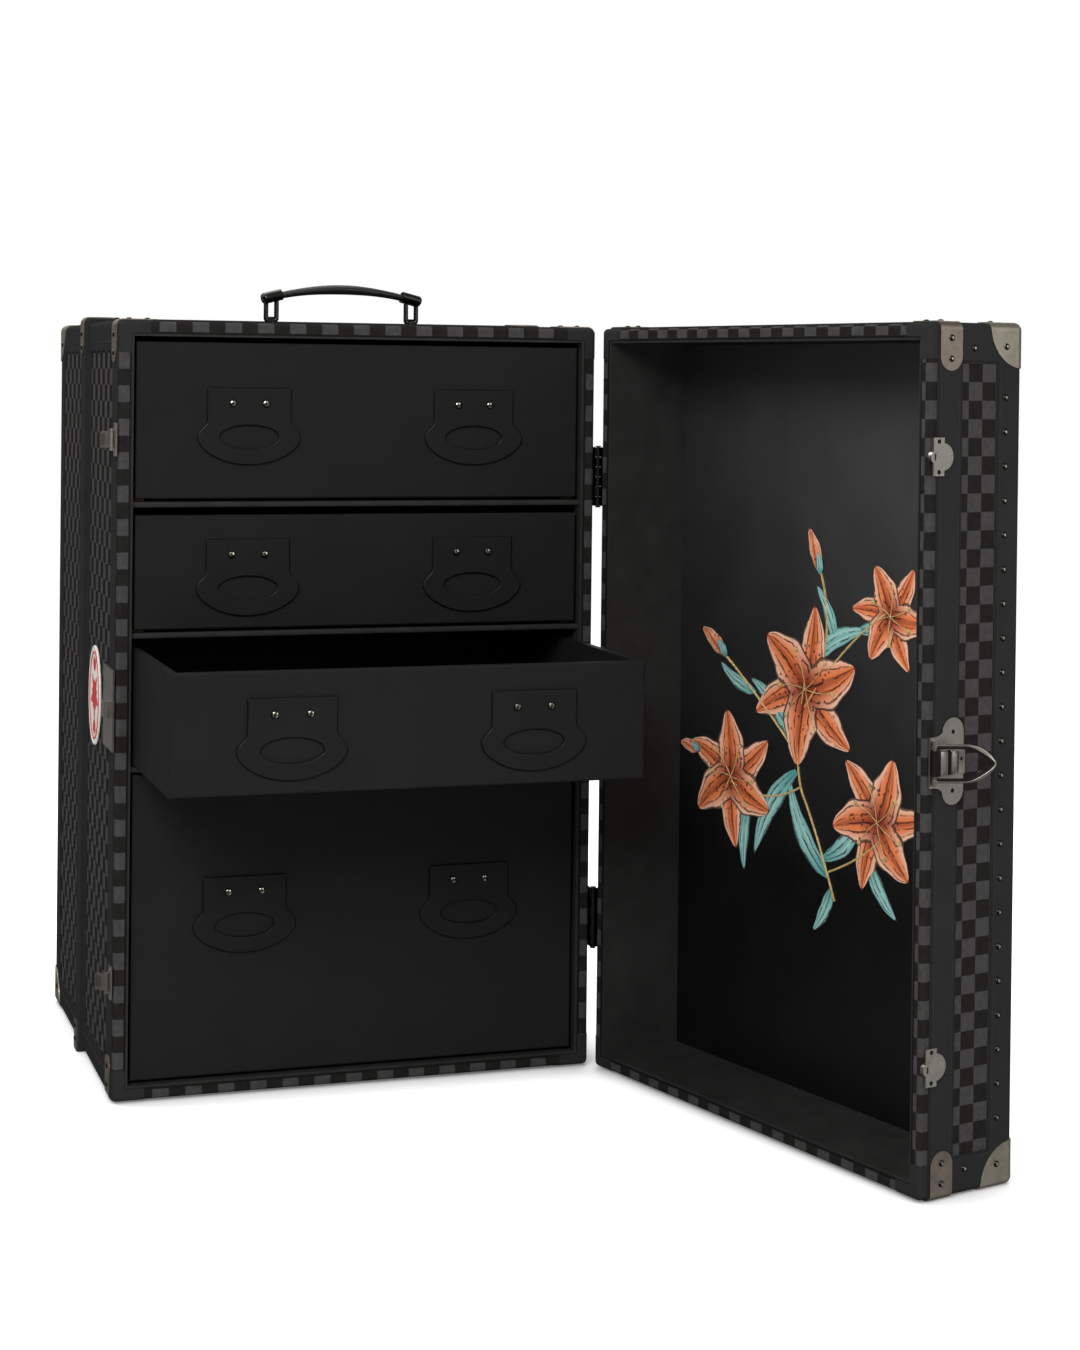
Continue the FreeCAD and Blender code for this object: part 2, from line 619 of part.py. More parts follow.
for shell in ("case", "door"):
    make_steel(shell)

# The band has its own straps over its upper corners, and short ones at its feet.
band_plate = cut("band_plate", bumper_form("steel", "band_plate_out"), bumper_form("0", "band_plate_in"))
band_straps, band_heads = [], []
for side_x in (-1, 1):
    for side_z in (-1, 1):
        corner = "band_" + side_name(side_x, side_z)
        low = "-bumper_strap_width / 2"
        if side_z > 0:
            region = strap_region(corner + "_form", side_x, side_z, low, "bumper_strap_width",
                                  "bumper_strap_reach", "bumper_proud + steel")
        else:
            region = block(corner + "_form", f"{SIDE} + bumper_proud" if side_x > 0 else
                           f"-{SIDE} - bumper_proud - steel", low, "running_gap", "steel",
                           "bumper_strap_width", "bumper_strap_reach")
        band_straps.append(common(corner + "_strap", band_plate, region))
        for number, distance in enumerate(("bumper_rivet_first", "bumper_rivet_second")):
            band_heads.append(rivet(f"{corner}_rivet_{number}", f"{side_x} * ({SIDE} + bumper_proud + steel)",
                                    "0", edge_level(side_z, distance), "+X" if side_x > 0 else "-X"))
node("bumper_straps", *band_straps)
node("bumper_rivets", *band_heads)

# ---------------------------------------------------------------------------
# Drawer bays: three dividers, the runners, and four drawers with their pulls
# ---------------------------------------------------------------------------
BAY_4_HEIGHT = ("(body_height - 2 * wall - 2 * lining - 3 * divider"
                " - bay_1_height - bay_2_height - bay_3_height)")
BAYS = {1: "bay_1_height", 2: "bay_2_height", 3: "bay_3_height", 4: BAY_4_HEIGHT}
FLOOR_4 = "(foot_height + wall + lining)"
FLOOR_3 = f"({FLOOR_4} + {BAY_4_HEIGHT} + divider)"
FLOOR_2 = f"({FLOOR_3} + bay_3_height + divider)"
FLOOR_1 = f"({FLOOR_2} + bay_2_height + divider)"
FLOORS = {1: FLOOR_1, 2: FLOOR_2, 3: FLOOR_3, 4: FLOOR_4}
BAY_SIDE = "(body_width / 2 - wall - lining)"
DRAWER_SIDE = f"({BAY_SIDE} - drawer_side_gap)"
DRAWER_FRONT = f"({RIM} + drawer_inset)"
DRAWER_LENGTH = "(body_depth - back_board - lining - drawer_inset - drawer_back_gap)"

runners = []
for number, floor in FLOORS.items():
    if number < 4:
        shelf = block(f"divider_{number}_board", f"-{BAY_SIDE}", DRAWER_FRONT, f"{floor} - divider",
                      f"2 * {BAY_SIDE}", "body_depth - drawer_inset - back_board - lining", "divider")
        node(f"divider_{number}", eased(f"divider_{number}_eased", shelf,
                                        (lambda edge: at_level(edge, "Y", DRAWER_FRONT)
                                         and runs_along(edge, "X"), "divider_round")))
    for side_x in (-1, 1):
        x_low = f"-{DRAWER_SIDE}" if side_x < 0 else f"{DRAWER_SIDE} - runner_width"
        runners.append(block(f"runner_{number}_{side_x + 1}", x_low, f"{RIM} + runner_set_back", floor,
                             "runner_width", "body_depth - runner_set_back - back_board - lining",
                             "drawer_foot_gap - running_gap"))
node("drawer_runners", *runners)


def pull_outline():
    """Straight top, sides that flare out, and a wide round bottom."""
    half_top, half = "pull_top_width / 2", "pull_width / 2"
    a, b = point(f"-{half_top}", "0"), point(half_top, "0")
    c, d = point(half_top, "-pull_side"), point(half, "-pull_belly")
    e, f = point(f"-{half}", "-pull_belly"), point(f"-{half_top}", "-pull_side")
    sag = measure(f"({half} - {half_top}) / 4")
    right = Vector((c.x + d.x - sag) / 2, (c.y + d.y) / 2 - sag, 0)
    left = Vector(-right.x, right.y, 0)
    bottom = point("0", "-pull_height")
    return [seg(a, b), seg(b, c), arc(c, right, d), arc(d, bottom, e), arc(e, left, f), seg(f, a)]


def oval(x, y, long_half, short_half):
    return Part.Ellipse(point(x, y), measure(long_half), measure(short_half))


def make_pull(drawer, side_x, top, y):
    name = f"pull_{drawer}_{'left' if side_x < 0 else 'right'}"
    x = f"{side_x} * pull_spread / 2"
    piece = body_at(name, x, y, top)
    pad(piece, profile(piece, name + "_outline", "XZ", pull_outline()), "pull_leather")
    finger = profile(piece, name + "_finger", "XZ",
                     [oval("0", "-pull_hole_drop", "pull_hole_width / 2", "pull_hole_height / 2")])
    pocket(piece, finger, "2 * pull_leather", back=True)
    screws = [rivet(f"{name}_screw_{end + 1}", f"{x} + {end} * pull_screw_spread / 2", f"{y} - pull_leather",
                    f"{top} - pull_screw_drop", "-Y", "pull_screw_radius", "pull_screw_crown",
                    "pull_screw_head") for end in (-1, 1)]
    return piece, screws


def make_drawer(number):
    floor = f"({FLOORS[number]} + drawer_foot_gap)"
    height = f"({BAYS[number]} - drawer_foot_gap - headroom_{number})"
    rides = f"drawer_{number}"
    tray_front = f"({DRAWER_FRONT} + drawer_face)"
    tray_length = f"{DRAWER_LENGTH} - drawer_face"
    tray = body_at(f"tray_{number}", "0", tray_front, floor)
    outline = profile(tray, f"tray_{number}_outline", "XY", [])
    rectangle(outline, f"-{DRAWER_SIDE}", DRAWER_SIDE, "0", tray_length)
    pad(tray, outline, height)
    inside = profile(tray, f"tray_{number}_inside", "XY", [], "drawer_floor")
    inside.setExpression("AttachmentOffset.Base.z", formula("drawer_floor"))
    rectangle(inside, f"-{DRAWER_SIDE} + drawer_wall", f"{DRAWER_SIDE} - drawer_wall", "0",
              f"{tray_length} - drawer_wall")
    pocket(tray, inside, height, back=True)
    node(f"drawer_{number}_tray", tray, rides=rides)
    face = block(f"face_{number}_board", f"-{DRAWER_SIDE}", DRAWER_FRONT, floor, f"2 * {DRAWER_SIDE}",
                 "drawer_face", height)
    face = eased(f"face_{number}", face, (lambda edge: at_level(edge, "Y", DRAWER_FRONT), "drawer_face_round"))
    node(f"drawer_{number}_face", face, rides=rides)
    pulls, screws = [], []
    for side_x in (-1, 1):
        piece, heads = make_pull(number, side_x, f"{floor} + {height} - pull_{number}_drop", DRAWER_FRONT)
        pulls.append(piece)
        screws += heads
    node(f"drawer_{number}_pulls", *pulls, rides=rides)
    node(f"drawer_{number}_pull_screws", *screws, rides=rides)


for number in FLOORS:
    make_drawer(number)

# ---------------------------------------------------------------------------
# Two butt hinges on the right side, six knuckles each on one pin
# ---------------------------------------------------------------------------
KNUCKLES = 6


def make_hinges():
    leaves = {"case": [], "door": []}
    pins = []
    knuckle = f"hinge_height / {KNUCKLES}"
    for side_z in (-1, 1):
        low = f"({edge_level(side_z, 'hinge_drop')} - hinge_height / 2)"
        tag = "low" if side_z < 0 else "high"
        bore = rod(f"hinge_{tag}_bore", HINGE_X, HINGE_Y, f"{low} - cut_past",
                   "hinge_pin_radius + pin_clearance", "hinge_height + 2 * cut_past")
        for which, first in (("case", 0), ("door", 1)):
            near = RIM if which == "case" else DOOR_RIM
            y_low = near if which == "case" else f"{near} - hinge_leaf_width"
            parts = [block(f"hinge_{tag}_{which}_leaf", f"{SIDE} + leather", y_low, low, "hinge_leaf",
                           "hinge_leaf_width", "hinge_height")]
            for step in range(first, KNUCKLES, 2):
                start = f"{low} + {step} * {knuckle} + running_gap / 2"
                tall = f"{knuckle} - running_gap"
                parts.append(rod(f"hinge_{tag}_{which}_knuckle_{step}", HINGE_X, HINGE_Y, start,
                                 "knuckle_radius", tall))
                web_low = HINGE_Y if which == "case" else near
                web = f"{near} - {HINGE_Y}" if which == "case" else f"{HINGE_Y} - {near}"
                parts.append(block(f"hinge_{tag}_{which}_web_{step}", f"{SIDE} + leather", web_low, start,
                                   "hinge_leaf", web, tall))
            solid = fuse(f"hinge_{tag}_{which}_solid", *parts)
            other = 1 - first
            for step in range(other, KNUCKLES, 2):
                relief = rod(f"hinge_{tag}_{which}_relief_{step}", HINGE_X, HINGE_Y,
                             f"{low} + {step} * {knuckle} - running_gap / 2", "knuckle_radius + running_gap",
                             f"{knuckle} + running_gap")
                solid = cut(f"hinge_{tag}_{which}_relieved_{step}", solid, relief)
            leaves[which].append(cut(f"hinge_{tag}_{which}", solid, bore))
        shaft = rod(f"hinge_{tag}_shaft", HINGE_X, HINGE_Y, f"{low} - running_gap", "hinge_pin_radius",
                    "hinge_height + 2 * running_gap")
        top_head = rod(f"hinge_{tag}_top_head", HINGE_X, HINGE_Y, f"{low} + hinge_height + running_gap",
                       "knuckle_radius", "pin_head")
        low_head = rod(f"hinge_{tag}_low_head", HINGE_X, HINGE_Y, f"{low} - running_gap - pin_head",
                       "knuckle_radius", "pin_head")
        pins.append(fuse(f"hinge_{tag}_pin", shaft, top_head, low_head))
    node("hinge_leaves_case", *leaves["case"])
    node("hinge_leaves_door", *leaves["door"], rides="door")
    node("hinge_pins", *pins)


make_hinges()

# ---------------------------------------------------------------------------
# Fittings on the left side, where the door shuts: two latches, the lock and its strike
# ---------------------------------------------------------------------------
LEFT = f"(-{SIDE} - leather)"
PLATE_FACE = f"({LEFT} - latch_plate)"
PIVOT_X = f"({PLATE_FACE} - latch_barrel_radius - running_gap)"
LATCH_HEIGHTS = {"low": f"({BASE} + latch_drop)", "high": f"({TOP} - latch_drop)"}
LOCK_HEIGHT = f"({BASE} + body_height / 2)"
LATCH_RIBS = 5


def make_catch(tag, height):
    """Catch plate on the door: narrow ends, a round bulge, and a hook that crosses the seam."""
    piece = body_at(f"catch_{tag}", LEFT, f"{DOOR_RIM} - catch_set_back", height)
    half = "catch_height / 2"
    shoulder = "catch_bulge_height / 2"
    a, b = point("0", f"-{half}"), point("0", half)
    c, d = point("-catch_lobe", half), point("-catch_lobe", shoulder)
    e, f = point("-catch_lobe", f"-({shoulder})"), point("-catch_lobe", f"-{half}")
    bulge = point("-catch_width", "0")
    outline = profile(piece, f"catch_{tag}_outline", "YZ",
                      [seg(a, b), seg(b, c), seg(c, d), arc(d, bulge, e), seg(e, f), seg(f, a)])
    pad(piece, outline, "latch_plate", back=True)
    screws = profile(piece, f"catch_{tag}_screws", "YZ", [])
    for side_z in (-1, 1):
        hole(screws, "-catch_lobe / 2", f"{side_z} * catch_hole_spread / 2", "catch_hole_radius")
    pocket(piece, screws, "2 * latch_plate")
    hook = block(f"catch_{tag}_block", f"{PLATE_FACE} - catch_hook_proud", f"{DOOR_RIM} - catch_hook_root",
                 f"{height} - catch_hook_height / 2", "catch_hook_proud", "catch_hook_root + catch_hook_reach",
                 "catch_hook_height")
    hook = eased(f"catch_{tag}_nose", hook, (lambda edge: runs_along(edge, "X"), "catch_hook_height * 0.45"))
    slot = block(f"catch_{tag}_slot", f"{PLATE_FACE} - 2 * catch_hook_proud",
                 f"{DOOR_RIM} - catch_slot_width", f"{height} - catch_slot_height / 2", "3 * catch_hook_proud",
                 "catch_slot_width", "catch_slot_height")
    return cut(f"catch_{tag}_slotted", fuse(f"catch_{tag}_solid", piece, hook), slot)


def make_latch(tag, height):
    """Latch on the case: a bracket with two screw ears, and a ribbed lever on its pin."""
    middle = f"{RIM} + latch_pivot"
    plate = body_at(f"latch_{tag}_plate", LEFT, RIM, height)
    outline = profile(plate, f"latch_{tag}_outline", "YZ", [])
    rectangle(outline, "latch_set_back", "latch_width", "-latch_height / 2", "latch_height / 2")
    pad(plate, outline, "latch_plate", back=True)
    screws = profile(plate, f"latch_{tag}_screws", "YZ", [])
    for side_z in (-1, 1):
        hole(screws, "latch_pivot", f"{side_z} * (latch_height / 2 - latch_screw_inset)", "latch_hole_radius")
    pocket(plate, screws, "2 * latch_plate")
    parts = [plate]
    ear_low = "latch_lever_height / 2 + running_gap"
    for side_z in (-1, 1):
        z_low = f"{height} + {ear_low}" if side_z > 0 else f"{height} - ({ear_low}) - latch_ear"
        parts.append(rod(f"latch_{tag}_ear_{side_z + 1}", PIVOT_X, middle, z_low, "latch_barrel_radius",
                         "latch_ear"))
        parts.append(block(f"latch_{tag}_post_{side_z + 1}", PIVOT_X, f"{middle} - latch_barrel_radius", z_low,
                           f"{PLATE_FACE} - {PIVOT_X}", "2 * latch_barrel_radius", "latch_ear"))
    parts.append(rod(f"latch_{tag}_pin", PIVOT_X, middle, f"{height} - ({ear_low}) - latch_ear",
                     "latch_pin_radius", f"2 * ({ear_low}) + 2 * latch_ear"))
    bracket = fuse(f"latch_{tag}_bracket_solid", *parts)
    lever_low = "-latch_lever_height / 2"
    barrel = rod(f"latch_{tag}_barrel", "0", "0", lever_low, "latch_barrel_radius", "latch_lever_height")
    flap = block(f"latch_{tag}_flap", "-latch_barrel_radius", "0", lever_low, "latch_lever",
                 "latch_lever_length", "latch_lever_height")
    flap = eased(f"latch_{tag}_flap_eased", flap, (lambda edge: runs_along(edge, "X")
                                                   and at_end(edge, "latch_lever_length"), "latch_lever"))
    pieces = [barrel, flap]
    for step in range(LATCH_RIBS):
        pieces.append(block(f"latch_{tag}_rib_{step}", "-latch_barrel_radius - latch_rib",
                            f"latch_rib_first + {step} * latch_rib_pitch", f"{lever_low} + latch_lever",
                            "2 * latch_rib", "latch_rib_width", "latch_lever_height - 2 * latch_lever"))
    solid = fuse(f"latch_{tag}_lever_solid", *pieces)
    bore = rod(f"latch_{tag}_bore", "0", "0", f"{lever_low} - cut_past", "latch_pin_radius + pin_clearance",
               "latch_lever_height + 2 * cut_past")
    lever = cut(f"latch_{tag}_lever_bored", solid, bore)
    lever.setExpression("Placement.Rotation.Angle", formula("latch_lever_angle"))
    put(lever, PIVOT_X, middle, height)
    return bracket, lever


def at_end(edge, text):
    return edge.BoundBox.YMin > measure(text) - 1e-3


for tag, height in LATCH_HEIGHTS.items():
    node(f"latch_{tag}_catch", make_catch(tag, height), rides="door")
    bracket, lever = make_latch(tag, height)
    node(f"latch_{tag}_bracket", bracket)
    node(f"latch_{tag}_lever", lever)


def make_lock():
    """Lock plate with two round lobes; its pin carries the lever and the pointed bail."""
    pivot_y = f"({DOOR_RIM} - lock_pivot)"
    piece = body_at("lock_plate_body", LEFT, DOOR_RIM, LOCK_HEIGHT)
    lobe_y, lobe_z = "(lock_width - lock_lobe_radius)", "(lock_height / 2 - lock_lobe_radius)"
    near = "-lock_set_back"
    lines = []
    corners = {}
    for side in (1, -1):
        rim_end = point(near, f"{side} * lock_waist / 2")
        inner = point(f"-{lobe_y} + lock_lobe_radius", f"{side} * {lobe_z}")
        outer = point(f"-{lobe_y} - lock_lobe_radius", f"{side} * {lobe_z}")
        crown = point(f"-{lobe_y}", f"{side} * ({lobe_z} + lock_lobe_radius)")
        sag = point(f"{near} + (lock_set_back - {lobe_y} + lock_lobe_radius) * 0.72",
                    f"{side} * (lock_waist / 2 + ({lobe_z} - lock_waist / 2) * 0.3)")
        lines += [arc(rim_end, sag, inner), arc(inner, crown, outer)]
        corners[side] = (rim_end, outer)
    lines += [seg(corners[1][1], corners[-1][1]), seg(corners[-1][0], corners[1][0])]
    outline = profile(piece, "lock_outline", "YZ", lines)
    pad(piece, outline, "latch_plate", back=True)
    screws = profile(piece, "lock_screws", "YZ", [])
    for side in (-1, 1):
        hole(screws, f"-{lobe_y}", f"{side} * {lobe_z}", "catch_hole_radius")
    pocket(piece, screws, "2 * latch_plate")
    eye_low = "(bail_spread / 2 - bail_eye / 2)"
    ear_low = f"({eye_low} + bail_eye + running_gap)"
    parts = [piece]
    for side in (-1, 1):
        z_low = f"{LOCK_HEIGHT} + {ear_low}" if side > 0 else f"{LOCK_HEIGHT} - {ear_low} - latch_ear"
        parts.append(rod(f"lock_ear_{side + 1}", PIVOT_X, pivot_y, z_low, "latch_barrel_radius", "latch_ear"))
        parts.append(block(f"lock_post_{side + 1}", PIVOT_X, f"{pivot_y} - latch_barrel_radius", z_low,
                           f"{PLATE_FACE} - {PIVOT_X}", "2 * latch_barrel_radius", "latch_ear"))
    parts.append(rod("lock_pin", PIVOT_X, pivot_y, f"{LOCK_HEIGHT} - {ear_low} - latch_ear",
                     "latch_pin_radius", f"2 * {ear_low} + 2 * latch_ear"))
    node("lock_plate", fuse("lock_plate_solid", *parts), rides="door")

    lever_low = f"{LOCK_HEIGHT} - lock_lever_height / 2"
    barrel = rod("lock_lever_barrel", PIVOT_X, pivot_y, lever_low, "latch_barrel_radius", "lock_lever_height")
    flap = block("lock_lever_flap", f"{PIVOT_X} - lock_lever / 2", f"{pivot_y} - lock_lever_length", lever_low,
                 "lock_lever", "lock_lever_length", "lock_lever_height")
    flap = eased("lock_lever_eased", flap, (lambda edge: runs_along(edge, "X") and at_level(
        edge, "Y", f"{pivot_y} - lock_lever_length"), "lock_lever_height * 0.3"))
    thumb = block("lock_thumb", f"{PIVOT_X} - lock_lever / 2 - lock_thumb",
                  f"{pivot_y} - lock_lever_length + lock_thumb_set_back",
                  f"{LOCK_HEIGHT} - lock_thumb_height / 2", "2 * lock_thumb", "lock_thumb_length",
                  "lock_thumb_height")
    thumb = eased("lock_thumb_eased", thumb, (lambda edge: runs_along(edge, "X"), "lock_thumb_height / 3"))
    lever = fuse("lock_lever_solid", barrel, flap, thumb)
    bore = rod("lock_lever_bore", PIVOT_X, pivot_y, f"{lever_low} - cut_past",
               "latch_pin_radius + pin_clearance", "lock_lever_height + 2 * cut_past")
    node("lock_lever", cut("lock_lever_cut", lever, bore), rides="door")
    node("lock_bail", make_bail(pivot_y, eye_low), rides="door")


def make_bail(pivot_y, eye_low):
    """Bent wire: two straight arms that close in a pointed arch, with an eye on each foot."""
    half = measure("bail_spread / 2")
    arm, reach, tip = measure("bail_arm"), measure("bail_reach"), measure("bail_tip_radius")
    rise = reach - arm
    big = (rise ** 2 + half ** 2) / (2 * half)
    tip_centre = arm + ((big - tip) ** 2 - (big - half) ** 2) ** 0.5
    centre = Vector(0, -arm, half - big)
    towards = Vector(0, -tip_centre, 0) - centre
    towards.normalize()
    join = centre + towards * big
    middle = Vector(0, -arm, half) + join
    along = (middle * 0.5) - centre
    along.normalize()
    swell = centre + along * big
    flip = [Vector(v.x, v.y, -v.z) for v in (join, swell, Vector(0, -arm, half), Vector(0, 0, half))]
    peak = Vector(0, -tip_centre - tip, 0)
    foot = Vector(0, -measure("latch_barrel_radius - bail_radius"), half)
    path = [seg(foot, Vector(0, -arm, half)), arc(Vector(0, -arm, half), swell, join), arc(join, peak, flip[0]),
            arc(flip[0], flip[1], flip[2]), seg(flip[2], Vector(0, foot.y, -half))]
    wire = Part.Wire([Part.Edge(piece) for piece in path])
    ring = Part.Wire([Part.Circle(foot, Vector(0, 1, 0), measure("bail_radius")).toShape()])
    bent = doc.addObject("Part::Feature", "bail_wire")
    bent.Shape = wire.makePipeShell([ring], True, False)
    pieces = [bent]
    for side in (-1, 1):
        z_low = eye_low if side > 0 else f"-{eye_low} - bail_eye"
        pieces.append(rod(f"bail_eye_{side + 1}", "0", "0", z_low, "latch_barrel_radius", "bail_eye"))
    whole = fuse("bail_solid", *pieces)
    bore = rod("bail_bore", "0", "0", "-bail_spread", "latch_pin_radius + pin_clearance", "2 * bail_spread")
    bail = cut("bail_cut", whole, bore)
    bail.Placement = Placement(Vector(), Rotation(Vector(0, 0, -1), measure("bail_angle")))
    bail.setExpression("Placement.Rotation.Angle", formula("bail_angle"))
    return put(bail, PIVOT_X, pivot_y, LOCK_HEIGHT)


make_lock()


def make_strike():
    """Plate on the case with the staple block that the bail drops over."""
    piece = body_at("strike_body", LEFT, f"{RIM} + strike_set_back", LOCK_HEIGHT)
    outline = profile(piece, "strike_outline", "YZ", [])
    rectangle(outline, "0", "strike_width", "-strike_height / 2", "strike_height / 2")
    pad(piece, outline, "latch_plate", back=True)
    screws = profile(piece, "strike_screws", "YZ", [])
    for side_y in ("strike_screw_inset", "strike_width - strike_screw_inset"):
        for side_z in (-1, 1):
            hole(screws, side_y, f"{side_z} * (strike_height / 2 - strike_screw_inset)", "catch_hole_radius")
    pocket(piece, screws, "2 * latch_plate")
    staple = block("staple", f"{PLATE_FACE} - strike_block_proud", f"{RIM} + strike_block_near",
                   f"{LOCK_HEIGHT} - strike_block_height / 2", "strike_block_proud", "strike_block_length",
                   "strike_block_height")
    staple = eased("staple_eased", staple, (lambda edge: runs_along(edge, "Z")
                                            and at_level(edge, "X", f"{PLATE_FACE} - strike_block_proud"),
                                            "strike_block_proud * 0.4"))
    slot = block("staple_slot", f"{PLATE_FACE} - strike_block_proud * 0.8",
                 f"{RIM} + strike_block_near + strike_block_length / 2 - strike_block_proud / 4",
                 f"{LOCK_HEIGHT} - strike_slot / 2", "strike_block_proud * 0.5", "strike_block_length",
                 "strike_slot")
    node("lock_strike", fuse("strike_solid", piece, cut("staple_cut", staple, slot)))


make_strike()

# Oval leather patch, glued and sewn on the left side.
patch = body_at("patch_body", f"-{SIDE}", f"{RIM} + patch_set_back", LOCK_HEIGHT)
patch_oval = Part.Ellipse(Vector(), measure("patch_height / 2"), measure("patch_width / 2"))
patch_oval.AngleXU = pi / 2
pad(patch, profile(patch, "patch_outline", "YZ", [patch_oval]), "patch_leather", back=True)
node("side_patch", patch)


# ---------------------------------------------------------------------------
# Carrying handle: two plates on the top, two wire rings, and an arched leather grip with end caps
# ---------------------------------------------------------------------------
HANDLE_Y = f"({RIM} + handle_set_back)"
PIVOT_Z = f"({TOP} + handle_pivot)"
EYE = "(ring_wire + pin_clearance + handle_eye)"


def make_plate(tag, side_x, ring_x):
    """Screwed to the top; its eye holds the lower bar of the ring, between the ring's two sides."""
    low = (f"{ring_x} - handle_plate_past" if side_x > 0
           else f"{ring_x} - handle_plate_length + handle_plate_past")
    base = block(f"handle_{tag}_base", low, f"{HANDLE_Y} - handle_plate_width / 2", TOP,
                 "handle_plate_length", "handle_plate_width", "handle_plate")
    base = eased(f"handle_{tag}_base_eased", base,
                 (lambda edge: runs_along(edge, "Z"), "handle_plate_width * 0.3"))
    eye_low, eye_wide = f"{ring_x} - ring_width / 2 + ring_bend", "ring_width - 2 * ring_bend"
    eye = rod(f"handle_{tag}_eye", eye_low, HANDLE_Y, PIVOT_Z, EYE, eye_wide, "+X")
    stem = block(f"handle_{tag}_stem", eye_low, f"{HANDLE_Y} - {EYE}", TOP, eye_wide, f"2 * {EYE}",
                 "handle_pivot")
    bore = rod(f"handle_{tag}_bore", f"{ring_x} - ring_width", HANDLE_Y, PIVOT_Z,
               "ring_wire + pin_clearance", "2 * ring_width", "+X")
    return cut(f"handle_{tag}_plate", fuse(f"handle_{tag}_fused", base, eye, stem), bore)


def make_ring(name, ring_x, radius):
    """A round-cornered wire loop; its top bar passes through the end cap of the grip."""
    half, tall, bend = measure("ring_width / 2"), measure("ring_height"), measure("ring_bend")
    near, far, sag = half - bend, tall - bend, bend * (1 - 0.5 ** 0.5)
    low = [Vector(-near, 0, 0), Vector(near, 0, 0), Vector(half - sag, 0, sag), Vector(half, 0, bend)]
    high = [Vector(half, 0, far), Vector(half - sag, 0, tall - sag), Vector(near, 0, tall),
            Vector(-near, 0, tall)]
    left = [Vector(sag - half, 0, tall - sag), Vector(-half, 0, far), Vector(-half, 0, bend),
            Vector(sag - half, 0, sag)]
    path = [seg(low[0], low[1]), arc(low[1], low[2], low[3]), seg(low[3], high[0]),
            arc(high[0], high[1], high[2]), seg(high[2], high[3]), arc(high[3], left[0], left[1]),
            seg(left[1], left[2]), arc(left[2], left[3], low[0])]
    wire = Part.Wire([Part.Edge(piece) for piece in path])
    section = Part.Wire([Part.Circle(low[0], Vector(1, 0, 0), measure(radius)).toShape()])
    ring = doc.addObject("Part::Feature", name)
    ring.Shape = wire.makePipeShell([section], True, False)
    return put(ring, ring_x, HANDLE_Y, PIVOT_Z)


def arched(name, start, end, over):
    """A stretch of the grip: a flat-sided oval carried along its arch, between two lengths of arc."""
    reach, rise = measure("handle_spread / 2"), measure("grip_rise")
    bow = (reach ** 2 + rise ** 2) / (2 * rise)
    flat, round_end = measure("(grip_width - grip_height) / 2"), measure(f"grip_height / 2 + {over}")
    top_left, top_right = Vector(0, -flat, bow + round_end), Vector(0, flat, bow + round_end)
    low_left, low_right = Vector(0, -flat, bow - round_end), Vector(0, flat, bow - round_end)
    outline = [seg(top_left, top_right), arc(top_right, Vector(0, flat + round_end, bow), low_right),
               seg(low_right, low_left), arc(low_left, Vector(0, -flat - round_end, bow), top_left)]
    face = Part.Face(Part.Wire([Part.Edge(piece) for piece in outline]))
    face.rotate(Vector(), Vector(0, 1, 0), degrees(start / bow))
    stretch = doc.addObject("Part::Feature", name)
    stretch.Shape = face.revolve(Vector(), Vector(0, 1, 0), degrees((end - start) / bow))
    return put(stretch, "0", HANDLE_Y, f"{PIVOT_Z} + ring_height + grip_rise - {bow}")


def make_handle():
    plates, rings, caps = [], [], []
    half, cap, socket = measure("grip_length / 2"), measure("end_cap_length"), measure("end_cap_socket")
    leather = arched("grip_leather", cap - socket - half, half - cap + socket, "0")
    for side_x in (-1, 1):
        tag = "left" if side_x < 0 else "right"
        ring_x = f"{side_x} * handle_spread / 2"
        plates.append(make_plate(tag, side_x, ring_x))
        rings.append(make_ring(f"handle_{tag}_ring", ring_x, "ring_wire"))
        ends = sorted((side_x * half, side_x * (half - cap)))
        knob = arched(f"end_cap_{tag}", *ends, "end_cap_over")
        outer = measure(f"{side_x} * (handle_spread + grip_length) / 4")
        knob = eased(f"end_cap_{tag}_eased", knob,
                     (lambda edge: abs(edge.BoundBox.Center.x) > abs(outer), "end_cap_round"))
        knob = cut(f"end_cap_{tag}_socket", knob, leather)
        caps.append(cut(f"end_cap_{tag}_slot", knob,
                        make_ring(f"handle_{tag}_room", ring_x, "ring_wire + pin_clearance")))
    node("handle_plates", *plates)
    node("handle_rings", *rings)
    node("handle_grip", leather)
    node("handle_end_caps", *caps)


make_handle()

# ---------------------------------------------------------------------------
# Check every object, then write one STEP file for each node
# ---------------------------------------------------------------------------
doc.recompute()
for item in doc.Objects:
    if "Invalid" in item.State or "Error" in item.State:
        raise RuntimeError(f"{item.Label} failed: {item.State}")
os.makedirs("parts", exist_ok=True)
for label, item in NODES.items():
    shape = item.Shape
    if shape.isNull() or not shape.isValid() or not shape.Solids:
        raise RuntimeError(f"{label} has no valid solid")
    shape.exportStep(f"parts/{label}.step")
    print(f"{label:28s} {len(shape.Solids):3d} solids {shape.Volume / 1000:10.2f} cm3")
print(len(NODES), "nodes")
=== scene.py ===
import math

import bmesh
import bpy
from mathutils import Matrix, Vector


